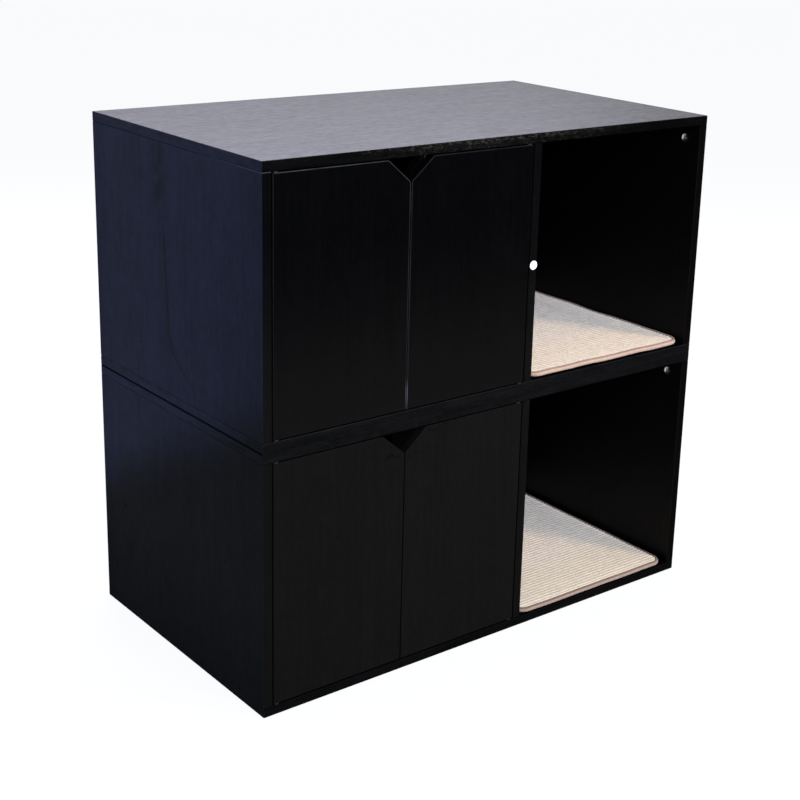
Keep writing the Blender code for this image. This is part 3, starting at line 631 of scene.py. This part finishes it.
# Painted glints, most in the middle and the upper part of the strip.
recolour(look, glints * near_middle * upper_part * (patchy * 0.75 + 0.15), GLINT_HIGHLIGHT)
recolour(look, look.step(x, 0.12, 0.36) * (look.directions[1] < -0.7) * 0.3, colour(BLACK, 0.3))
print("flecks on the top's front strip")

# %% [markdown]
# ## Marks of the left sides
# The lower side has two small dents. The upper one has a long scratch that bends at its foot, a smudge above
# it and one more dent, and its top edge gets a painted highlight towards the front, where the seam under the
# top board catches the light. Each mark is a distance turned into a soft mask: from a point for a dent, and
# from a curved line for the scratch. The mask darkens the colour and takes some of the coat away.

# %% Marks of the left sides
LOW_DENTS = ((0.172, 0.185, 0.0045), (-0.135, 0.205, 0.0030))
HIGH_DENT = (0.105, 0.478, 0.0032)
SCRATCH_Y, SCRATCH_Z, SCRATCH_LEAN = 0.0150, 0.505, 0.06
BEND_Z, BEND_CURVE = 0.515, 14
SMUDGE_Y = 0.041


def dent(look, at_y, at_z, radius):
    """A small dark dent of a side, 1 at its middle."""
    x, y, z = look.spot
    across = y - at_y
    up = z - at_z
    return look.step(across * across + up * up, radius * radius, radius * radius * 0.2)


def darken(look, share, coat_left):
    """Darkens a share of the surface and leaves only some of its coat."""
    recolour(look, share, MARK)
    recoat(look, share, look.coat * coat_left)


look = looks["lower_left_side_panel"]
first, second = (dent(look, *sizes) for sizes in LOW_DENTS)
darken(look, first.larger(second) * 0.8, 0.6)

look = looks["upper_left_side_panel"]
x, y, z = look.spot
bend = (BEND_Z - z).larger(0.0)
scratch_y = SCRATCH_Y + (z - SCRATCH_Z) * SCRATCH_LEAN - bend * bend * BEND_CURVE
scratch = look.step(abs(y - scratch_y), 0.0056, 0.0006)
scratch = scratch * look.step(z, 0.725, 0.62) * look.step(z, 0.435, 0.47)
blot = look.step(look.cloud(x * 60, y * 60, z * 40, 2.0), 0.3, 0.6)
smudge = look.step(abs(y - SMUDGE_Y), 0.030, 0.0) * look.step(z, 0.665, 0.735) * blot
darken(look, (scratch * 0.5).larger(smudge * 0.55).larger(dent(look, *HIGH_DENT) * 0.9), 0.7)
# Painted highlight along the top edge, stronger towards the front.
recolour(look, top_edge(look) * look.step(y, -0.05, -0.235), grey(0.035, 1.1))
print("left sides marked")

# %% [markdown]
# ## Back panels
# The back is 3 mm hardboard, black on the side that faces into the cabinet and bare brown on the other. One
# finish covers both, because the way a face looks decides between them.

# %% Hardboard
DARK_BROWN, LIGHT_BROWN = (0.085, 0.046, 0.022, 1), (0.25, 0.150, 0.078, 1)

back = Finish("hardboard", COATED)
x, y, z = back.place()
outside = back.facing()[1] > 0.5
fibres = back.cloud(x * 420, y * 420, z * 420, 4.0, 0.65)
patches = back.cloud(x * 14, y * 14, z * 14, 3.0)
brown = back.mix(fibres * 0.75 + patches * 0.25, DARK_BROWN, LIGHT_BROWN)
black = back.mix(fibres, grey(0.0022), grey(0.0042))
back.varies("Base Color", back.mix(outside, black, brown))
back.varies("Roughness", 0.5 + outside * 0.25 + fibres * 0.08)
back.varies("Coat Weight", 0.08 + outside * 0.17)
back.emboss(fibres, 0.0001)
for cabinet in ("lower", "upper"):
    dress(f"{cabinet}_back_panel", back.material)
print("back panels dressed")

# %% [markdown]
# ## Metal and plastic
# The small hardware shares a few finishes: bright and dark steel, black and white moulded plastic, nylon and
# the dark magnet block. Each has a slow change of tone, and fine scratches or a moulded grain.

# %% Hardware finishes
def hardware_finish(name, dark, light, roughness, grain_size, depth, metallic=0.0, shine=0.5):
    """A small part's finish, between two tones, with a grain of a size and a depth in metres."""
    finish = Finish(name, {"Metallic": metallic, "Specular IOR Level": shine})
    place = finish.place()
    tone = finish.cloud(*[p * 60 for p in place], 2.0)
    speck = finish.cloud(*[p * (1 / grain_size) for p in place], 3.0, 0.6)
    finish.varies("Base Color", finish.mix(tone * 0.5 + speck * 0.5, dark, light))
    finish.varies("Roughness", roughness - 0.08 + tone * 0.10 + speck * 0.06)
    finish.emboss(speck, depth)
    return finish.material


BRIGHT_STEEL = ((0.48, 0.48, 0.49, 1), (0.66, 0.66, 0.67, 1))
DARK_STEEL = ((0.16, 0.16, 0.17, 1), (0.26, 0.26, 0.27, 1))
steel = hardware_finish("steel", *BRIGHT_STEEL, 0.28, 0.0004, 0.00002, metallic=1.0)
hardware = {
    "strike_plate": steel,
    "pin": hardware_finish("dark_steel", *DARK_STEEL, 0.38, 0.0004, 0.00002, metallic=1.0),
    "catch_housing": hardware_finish("black_plastic", grey(0.003), grey(0.007), 0.55, 0.0005, 0.00003),
    "bush": hardware_finish("nylon", grey(0.006), grey(0.014), 0.50, 0.0008, 0.00002, shine=0.15),
    "catch_magnet": hardware_finish("ferrite", grey(0.035), grey(0.075), 0.58, 0.0004, 0.00004),
    "cover_cap": hardware_finish("white_plastic", grey(0.82), grey(0.90), 0.32, 0.0015, 0.00001),
}
dressed = 0
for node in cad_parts:
    for ending, material in hardware.items():
        if node.endswith(ending):
            dress(node, material)
            dressed += 1
print("hardware dressed:", dressed)

# %% [markdown]
# ## Cam locks
# A cam lock's face is a shallow dish pressed in zinc, so under a lamp from the front its rear half is bright
# and its front half dark. The dish is a bump whose height is the distance from the middle, squared.

# %% Cam locks
CAM_DROP = 0.025
DISH_CURVE = 58
ZINC = ((0.42, 0.42, 0.45, 1), (0.62, 0.62, 0.65, 1))


def middle(node):
    """The middle of a CAD node's box."""
    low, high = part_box(node)
    return (low + high) / 2


def ceiling(cabinet):
    """The height of the underside of a cabinet's top board."""
    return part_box(f"{cabinet}_top_panel")[0].z


def cam_finish(node):
    """Zinc with a dish round the middle of a cam lock's face, which lies CAM_DROP under the top board."""
    finish = Finish(f"{node}_zinc", {"Metallic": 1.0})
    x, y, z = finish.place()
    across = y - middle(node).y
    up = z - (ceiling(node.split("_")[0]) - CAM_DROP)
    speck = finish.cloud(x * 1500, y * 1500, z * 1500, 3.0, 0.6)
    finish.varies("Base Color", finish.mix(speck, *ZINC))
    finish.varies("Roughness", 0.22 + speck * 0.12)
    dish = (across * across + up * up) * DISH_CURVE
    finish.emboss(dish + speck * 0.00004, 1.0)
    return finish.material


cams = [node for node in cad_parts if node.endswith("cam_lock")]
for node in cams:
    dress(node, cam_finish(node))
print("cam locks:", len(cams))

# %% [markdown]
# ## Carpet mats
# Each bay has a loose mat of corded carpet. A flat plate with a striped picture would look painted on, so
# every cord is real: the mesh has ten rows of points to each cord, lifted to a rounded crest and nudged by
# noise where the yarn bunches. Like any mat that has been rolled up it doesn't lie quite flat: its edges
# lift a millimetre or two.

# %% Outline and curl of a mat
CORNER_ROUND = 0.022
CURL_WIDTH = 0.045


def rounded_half_width(y, half_width, half_depth, corner):
    """Half the width of a rounded rectangle at a distance y from its middle."""
    past = abs(y) - (half_depth - corner)
    if past <= 0:
        return half_width
    return half_width - corner + math.sqrt(max(corner * corner - past * past, 0.0))


def edge_lift(x, y, half_width, half_depth, rise):
    """How far a mat's edge has curled off the floor, x and y from the mat's middle."""
    from_edge = max(0.0, min(half_width - abs(x), half_depth - abs(y)))
    curl = max(0.0, 1 - from_edge / CURL_WIDTH) ** 2
    return rise * curl * (0.75 + 0.9 * noise.noise(Vector((x * 14, y * 14, rise * 900))))


def as_mesh(bm, name):
    """The mesh of a finished bmesh."""
    mesh = bpy.data.meshes.new(name)
    bm.to_mesh(mesh)
    bm.free()
    return mesh


def make_object(name, bm, material):
    """A smooth object in the scene, from a finished bmesh."""
    bmesh.ops.recalc_face_normals(bm, faces=bm.faces)
    mesh = as_mesh(bm, name)
    mesh.shade_smooth()
    made = bpy.data.objects.new(name, mesh)
    bpy.context.scene.collection.objects.link(made)
    mesh.materials.append(material)
    return made


# %% Corded field of a mat
CORD_PITCH = 0.0076
CORD_HEIGHT = 0.0017
CORD_ROWS = 10
MAT_COLUMNS = 190
CARPET_INSET = 0.0050
FIELD_HEIGHT = 0.0052
NUB_HEIGHT = 0.00035
SWAY = 0.0005
TUCK_DEPTH, TUCK_WIDTH = 0.0004, 0.004
FOOT_GAP = 0.0006


def yarn_height(x, y, row, from_edge, centre):
    """How high the yarn stands: a rounded crest with bunches and nubs, tucked in at the mat's edge."""
    crest = math.sin(math.pi * (row % CORD_ROWS) / CORD_ROWS) ** 0.6
    bunch = noise.noise(Vector((x * 240, row // CORD_ROWS * 3.7, centre.x)))
    nub = noise.noise(Vector((x * 700, y * 700, centre.z)))
    lift = CORD_HEIGHT * crest * (0.85 + 0.35 * bunch) + NUB_HEIGHT * nub
    tuck = TUCK_DEPTH * max(0.0, 1 - from_edge / TUCK_WIDTH) ** 2
    return FIELD_HEIGHT + lift - tuck


def make_carpet(name, low, high, rise, material):
    """The corded field of a mat, closed underneath."""
    centre = (low + high) / 2
    outer = ((high.x - low.x) / 2, (high.y - low.y) / 2)
    half_width, half_depth = (half - CARPET_INSET for half in outer)
    corner = CORNER_ROUND - CARPET_INSET
    rows = round(2 * half_depth / CORD_PITCH) * CORD_ROWS
    bm = bmesh.new()
    grid = []
    for row in range(rows + 1):
        y = -half_depth + 2 * half_depth * row / rows
        width = rounded_half_width(y, half_width, half_depth, corner)
        line = []
        for column in range(MAT_COLUMNS + 1):
            x = width * (2 * column / MAT_COLUMNS - 1)
            from_edge = min(width - abs(x), half_depth - abs(y))
            height = yarn_height(x, y, row, from_edge, centre) + edge_lift(x, y, *outer, rise)
            sway = SWAY * noise.noise(Vector((x * 40, row // CORD_ROWS * 1.3, centre.z)))
            line.append(bm.verts.new((centre.x + x, centre.y + y + sway, low.z + height)))
        grid.append(line)
    for front, behind in zip(grid, grid[1:]):
        for left in range(MAT_COLUMNS):
            right = left + 1
            bm.faces.new((front[left], front[right], behind[right], behind[left]))
    rim = [edge for edge in bm.edges if edge.is_boundary]
    skirt = bmesh.ops.extrude_edge_only(bm, edges=rim)["geom"]
    for foot in (part for part in skirt if isinstance(part, bmesh.types.BMVert)):
        foot.co.z = low.z + FOOT_GAP
    bmesh.ops.contextual_create(bm, geom=[edge for edge in bm.edges if edge.is_boundary])
    bmesh.ops.triangulate(bm, faces=[face for face in bm.faces if len(face.verts) > 4])
    return make_object(name, bm, material)


# %% [markdown]
# ## The bound edge
# The edge is bound twice, with a tan band round the side of the mat and a thinner brown one above it. Each
# is a rounded band swept round the mat's outline. Its slanting ridges stand for the thread, and a little
# noise lets it wander as hand-guided sewing does.

# %% Bands round a mat
BAND_SPOKES = 12
STEPS_PER_STITCH = 4
THREAD_RIDGE = 0.06
BAND_WANDER = 0.0007
BAND_HALF_WIDTH = 0.0020


def outline_point(distance, half_width, half_depth, corner):
    """A point and its outward direction, a distance round a rounded rectangle."""
    straights = (2 * (half_width - corner), 2 * (half_depth - corner))
    arc = corner * math.pi / 2
    turn = -math.pi / 2
    for side, (sign_x, sign_y) in enumerate(((1, -1), (1, 1), (-1, 1), (-1, -1))):
        centre = Vector((sign_x * (half_width - corner), sign_y * (half_depth - corner)))
        outward = Vector((math.cos(turn), math.sin(turn)))
        length = straights[side % 2]
        if distance < length:
            back_along = Vector((-outward.y, outward.x)) * (length - distance)
            return centre + outward * corner - back_along, outward
        distance -= length
        if distance < arc:
            angle = turn + distance / corner
            outward = Vector((math.cos(angle), math.sin(angle)))
            return centre + outward * corner, outward
        distance -= arc
        turn += math.pi / 2
    # A distance that rounding has carried past the end is the start again.
    return outline_point(0.0, half_width, half_depth, corner)


def squared(value):
    """A sine or cosine that stays longer near its ends, which makes a circle a little square."""
    return math.copysign(abs(value) ** 0.8, value)


def make_band(name, low, high, inset, half_height, height, stitch, rise, material):
    """A rounded band laid round the mat, a distance in from its outline, with slanting ridges of thread."""
    centre = (low + high) / 2
    outer = ((high.x - low.x) / 2, (high.y - low.y) / 2)
    half_width, half_depth = (half - inset for half in outer)
    corner = CORNER_ROUND - inset
    girth = 4 * (half_width + half_depth - 2 * corner) + math.tau * corner
    steps = round(girth / stitch) * STEPS_PER_STITCH
    bm = bmesh.new()
    rings = []
    for step in range(steps):
        point, outward = outline_point(girth * step / steps, half_width, half_depth, corner)
        wander = noise.noise(Vector((point.x * 22, point.y * 22, centre.z * 9))) * BAND_WANDER
        curl = edge_lift(point.x, point.y, *outer, rise)
        ring = []
        for spoke in range(BAND_SPOKES):
            angle = math.tau * spoke / BAND_SPOKES
            grow = 1 + THREAD_RIDGE * math.sin(math.tau * step / STEPS_PER_STITCH + angle)
            spot = point + outward * (squared(math.cos(angle)) * BAND_HALF_WIDTH * grow + wander)
            up = squared(math.sin(angle)) * half_height * grow
            ring.append(bm.verts.new((centre.x + spot.x, centre.y + spot.y, low.z + height + curl + up)))
        rings.append(ring)
    for ring, ahead in zip(rings, rings[1:] + rings[:1]):
        for spoke in range(BAND_SPOKES):
            beside = (spoke + 1) % BAND_SPOKES
            bm.faces.new((ring[spoke], ahead[spoke], ahead[beside], ring[beside]))
    return make_object(name, bm, material)


# %% [markdown]
# ## Yarn
# Carpet yarn is spun from fibres of slightly different colours, so up close it is heathered and from afar it
# has soft clouds. Three noises of different sizes are added for that. The carpet itself is cream with dark
# flecks, with painted shade between the cords, a painted highlight near the edge, and a painted warm tint of
# the front lamp's light at the front.

# %% Finishes of the mat
CREAM = ((0.57, 0.478, 0.370, 1), (0.85, 0.735, 0.577, 1))
# The first colour is painted shade between the cords and the last a painted highlight on the rim. The dark
# fleck is the yarn's own.
PAINTED_CORD_SHADE, DARK_FLECK, RIM_HIGHLIGHT = (0.34, 0.31, 0.28, 1), (0.30, 0.26, 0.22, 1), (0.78, 0.69, 0.55, 1)
YARN = {"Roughness": 0.95, "Specular IOR Level": 0.1, "Sheen Weight": 0.15, "Sheen Roughness": 0.5}
CARPET_FIBRE, BAND_FIBRE = 0.0006, 0.0005
# Where the painted warm tint of the front lamp's light starts and is full.
FRONT_LIGHT_STARTS, FRONT_LIGHT_IS_FULL = 0.175, 0.05


def yarn_finish(name, dark, light, fibre_size):
    """Yarn between two tones, with its short fibres across the cords."""
    finish = Finish(name, YARN)
    x, y, z = finish.spot = finish.place()
    fibre = finish.cloud(x * (0.4 / fibre_size), y * (1 / fibre_size), z * (1 / fibre_size), 3.0, 0.7)
    heather = finish.cloud(x * 150, y * 420, z * 100, 2.0, 0.6)
    wash = finish.cloud(x * 48, y * 48, z * 48, 3.0)
    finish.base = finish.mix(fibre * 0.22 + heather * 0.42 + wash * 0.60 - 0.12, dark, light)
    finish.varies("Base Color", finish.base)
    finish.emboss(fibre * 0.6 + heather * 0.4, 0.0004)
    return finish


def carpet_finish(cabinet, front_light_tint):
    """Cream yarn with flecks, painted shade between the cords, a painted highlight at the rim and a painted
    warm light tint near the front.
    """
    low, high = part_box(f"{cabinet}_mat")
    finish = yarn_finish(f"{cabinet}_carpet_yarn", *CREAM, CARPET_FIBRE)
    x, y, z = finish.spot
    inside = distance_inside(x, low.x, high.x).smaller(distance_inside(y, low.y, high.y))
    rim = finish.step(inside, 0.016, 0.010)
    # Painted shade in the hollows between the cords.
    between = finish.step(z - low.z, 0.0066, 0.0052) * (1 - rim)
    fleck = finish.step(finish.cloud(x * 260, y * 420, z * 260, 1.0), 0.60, 0.68) * (1 - rim)
    recolour(finish, between * 0.40, PAINTED_CORD_SHADE)
    recolour(finish, fleck * 0.30, DARK_FLECK)
    # Painted highlight on the rim of the mat.
    recolour(finish, rim * 0.6, RIM_HIGHLIGHT)
    # Painted warm tint of the front lamp's light near the front.
    near_front = finish.step(y, low.y + FRONT_LIGHT_STARTS, low.y + FRONT_LIGHT_IS_FULL)
    recolour(finish, near_front * 0.25, front_light_tint)
    return finish.material


# %% Both mats
BANDS = {
    "tan": {"inset": 0.0020, "height": 0.0025, "stitch": 0.0030},
    "brown": {"inset": 0.0032, "height": 0.0054, "stitch": 0.0028},
}
MATS = {
    "lower": {
        "rise": 0.0009,
        "front_light_tint": (0.43, 0.34, 0.15, 1),
        "tones": {
            "tan": ((0.22, 0.155, 0.110, 1), (0.33, 0.24, 0.178, 1)),
            "brown": ((0.10, 0.06, 0.04, 1), (0.21, 0.13, 0.09, 1)),
        },
        "half_heights": {"tan": 0.0028, "brown": 0.0017},
    },
    "upper": {
        "rise": 0.0024,
        "front_light_tint": (0.68, 0.49, 0.26, 1),
        "tones": {
            "tan": ((0.35, 0.235, 0.155, 1), (0.48, 0.335, 0.235, 1)),
            "brown": ((0.18, 0.115, 0.085, 1), (0.31, 0.21, 0.16, 1)),
        },
        "half_heights": {"tan": 0.0031, "brown": 0.0021},
    },
}
for cabinet, mat in MATS.items():
    low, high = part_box(f"{cabinet}_mat")
    rise = mat["rise"]
    yarns = {band: yarn_finish(f"{cabinet}_{band}_yarn", *mat["tones"][band], BAND_FIBRE) for band in BANDS}
    cream = carpet_finish(cabinet, mat["front_light_tint"])
    carpet = make_carpet(f"{cabinet}_mat_carpet", low, high, rise, cream)
    bands = []
    for band, sizes in BANDS.items():
        sizes = {**sizes, "half_height": mat["half_heights"][band], "rise": rise}
        name = f"{cabinet}_mat_{band}_band"
        bands.append(make_band(name, low, high, material=yarns[band].material, **sizes))
    for piece in (carpet, *bands):
        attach(piece, f"{cabinet}_carpet_mat")
    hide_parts(f"{cabinet}_mat")
    print(cabinet, "mat", len(carpet.data.polygons), "faces")

# %% [markdown]
# ## Small fasteners
# The CAD boards have the holes, and these are what goes in them: grooved wooden dowels between the top board
# and the uprights, countersunk screws up through the bottom board, screws that join the two cabinets, and the
# little ones of the catches and strike plates. A turned profile makes each body, and two crossed blocks, cut
# away from its head, make its drive.

# %% Turned bodies
def turned(profile, sides=20, flutes=0.0):
    """A closed solid from (radius, height) points, from the top down. Flutes dent every other side."""
    bm = bmesh.new()
    rings = []
    for radius, height in profile:
        if radius == 0:
            rings.append([bm.verts.new((0, 0, height))])
            continue
        ring = []
        for side in range(sides):
            angle = math.tau * side / sides
            reach = radius * (1 - flutes * (side % 2))
            ring.append(bm.verts.new((reach * math.cos(angle), reach * math.sin(angle), height)))
        rings.append(ring)
    for above, below in zip(rings, rings[1:]):
        for side in range(sides):
            beside = (side + 1) % sides
            if len(above) == 1:
                bm.faces.new((above[0], below[side], below[beside]))
            elif len(below) == 1:
                bm.faces.new((above[side], below[0], above[beside]))
            else:
                bm.faces.new((above[side], below[side], below[beside], above[beside]))
    return bm


def cross_cut(bm, width, length, top, depth):
    """The mesh of a screw with a cross recess cut into its head, which faces +Z."""
    blank = bpy.data.objects.new("screw_blank", as_mesh(bm, "screw_blank"))
    bpy.context.scene.collection.objects.link(blank)
    cutters = []
    for sizes in ((length, width), (width, length)):
        block = bmesh.new()
        bmesh.ops.create_cube(block, size=1.0, matrix=Matrix.Diagonal((*sizes, depth * 2, 1)))
        cutter = bpy.data.objects.new("cross_cutter", as_mesh(block, "cross_cutter"))
        cutter.location.z = top
        bpy.context.scene.collection.objects.link(cutter)
        boolean = blank.modifiers.new("cross", "BOOLEAN")
        boolean.object = cutter
        boolean.solver = "EXACT"
        cutters.append(cutter)
    bpy.context.view_layer.update()
    graph = bpy.context.evaluated_depsgraph_get()
    cut = bpy.data.meshes.new_from_object(blank.evaluated_get(graph))
    for used in (blank, *cutters):
        bpy.data.objects.remove(used, do_unlink=True)
    return cut


# %% Screws and dowels
def threaded(head, shank, length, pitch):
    """A screw's profile: its head, then a shank with ridges of thread down to a point."""
    profile = list(head)
    neck = height = head[-1][1]
    while height > neck - length + 3 * pitch:
        profile.append((shank * 0.72, height - pitch * 0.30))
        profile.append((shank, height - pitch * 0.65))
        height -= pitch
    profile.append((shank * 0.7, height - pitch))
    profile.append((0, neck - length))
    return profile


def screw(head, shank, length, pitch, cross, sides=20):
    """A screw's mesh, from the sizes of its shank and the width, length, top and depth of its cross."""
    return cross_cut(turned(threaded(head, shank, length, pitch), sides), *cross)


SUNK_HEAD = [(0, 0), (0.0047, 0), (0.0047, -0.0004), (0.0022, -0.0030)]
PAN_HEAD = [(0, 0.0022), (0.0024, 0.0020), (0.0036, 0.0012), (0.0040, 0.0002), (0.0040, 0), (0.0020, 0)]
SMALL_PAN = [(0, 0.0016), (0.0014, 0.0015), (0.0022, 0.0009), (0.0025, 0), (0.0012, 0)]
SMALL_SUNK = [(0, 0), (0.0026, 0), (0.0026, -0.0001), (0.0012, -0.0005)]
DOWEL_END = [(0, 0.015), (0.0032, 0.015), (0.0039, 0.0138)]
BEECH = ((0.42, 0.26, 0.13, 1), (0.60, 0.42, 0.24, 1))

bottom_screw = screw(SUNK_HEAD, 0.0026, 0.047, 0.0022, (0.0011, 0.0056, 0, 0.0016))
joining_screw = screw(PAN_HEAD, 0.0020, 0.024, 0.0016, (0.0010, 0.0048, 0.0022, 0.0014))
catch_screw = screw(SMALL_PAN, 0.0012, 0.020, 0.0011, (0.0007, 0.0030, 0.0016, 0.0009), 16)
strike_screw = screw(SMALL_SUNK, 0.0012, 0.0095, 0.0011, (0.0006, 0.0028, 0, 0.0004), 16)
other_end = [(radius, -height) for radius, height in reversed(DOWEL_END)]
dowel = as_mesh(turned(DOWEL_END + other_end, 32, 0.05), "dowel")
beech = hardware_finish("beech", *BEECH, 0.65, 0.0005, 0.00005)
print("faces of a bottom screw:", len(bottom_screw.polygons))

# %% [markdown]
# ## Fasteners in their holes
# A fastener's mesh is made once and copied to each of its places, with its head turned the way the hole
# opens. The copies of one kind are joined into one object, which rides with the body it is screwed into, so
# that the strike plates' screws swing with their doors.

# %% Fasteners in their holes
UP = Matrix.Identity(4)
DOWN = Matrix.Rotation(math.pi, 4, "X")
TO_BACK = Matrix.Rotation(-math.pi / 2, 4, "X")
SHARP_FROM = math.radians(35)
DOWEL_DROP = 0.005
HEAD_SINK = 0.0005
DOWEL_ROWS = (-0.17625, 0.14975)
BOTTOM_SCREW_ROWS = (-0.19025, 0.18175)
CATCH_SCREW_OFFSETS = (-0.016, 0.016)
STRIKE_SCREW_OFFSETS = (-0.009, 0.009)
JOINING_COLUMNS, JOINING_ROWS = (-0.362, 0.362), (-0.15025, 0.15175)


def put(x, y, z, turn):
    """A place and a turn, as one matrix."""
    return Matrix.Translation((x, y, z)) @ turn


def fasten(name, mesh, matrices, material, body):
    """One object that holds a copy of a mesh at each matrix, and rides on a body."""
    bm = bmesh.new()
    for matrix in matrices:
        copy = mesh.copy()
        copy.transform(matrix)
        bm.from_mesh(copy)
        bpy.data.meshes.remove(copy)
    piece = make_object(name, bm, material)
    piece.data.set_sharp_from_angle(angle=SHARP_FROM)
    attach(piece, body)
    print(name, len(matrices))


for cabinet in ("lower", "upper"):
    uprights = [middle(f"{cabinet}_{board}_panel").x for board in ("left_side", "divider", "right_side")]
    dowel_z = ceiling(cabinet) - DOWEL_DROP
    places = [put(x, y, dowel_z, UP) for x in uprights for y in DOWEL_ROWS]
    fasten(f"{cabinet}_dowels", dowel, places, beech, "cabinet")
    head_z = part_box(f"{cabinet}_bottom_panel")[0].z + HEAD_SINK
    places = [put(x, y, head_z, DOWN) for x in uprights for y in BOTTOM_SCREW_ROWS]
    fasten(f"{cabinet}_bottom_screws", bottom_screw, places, steel, "cabinet")
    catch_places = []
    for hand in ("left", "right"):
        housing = f"{cabinet}_{hand}_catch_housing"
        spot = middle(housing)
        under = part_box(housing)[0].z
        catch_places += [put(spot.x + offset, spot.y, under, DOWN) for offset in CATCH_SCREW_OFFSETS]
        plate = f"{cabinet}_{hand}_door_strike_plate"
        spot = middle(plate)
        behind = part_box(plate)[1].y
        places = [put(spot.x + offset, behind, spot.z, TO_BACK) for offset in STRIKE_SCREW_OFFSETS]
        name = f"{cabinet}_{hand}_door_strike_screws"
        fasten(name, strike_screw, places, steel, f"{cabinet}_{hand}_door")
    fasten(f"{cabinet}_catch_screws", catch_screw, catch_places, steel, "cabinet")
places = [put(x, y, ceiling("lower"), DOWN) for x in JOINING_COLUMNS for y in JOINING_ROWS]
fasten("joining_screws", joining_screw, places, steel, "cabinet")

# %% [markdown]
# ## Finish
# The model's box before and after dressing is printed, so that a difference shows at once.

# %% Sizes
made_low, made_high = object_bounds()
sizes = {"cad": [list(cad_low), list(cad_high)], "made": [list(made_low), list(made_high)]}
print("dressed from", tuple(made_low), "to", tuple(made_high))
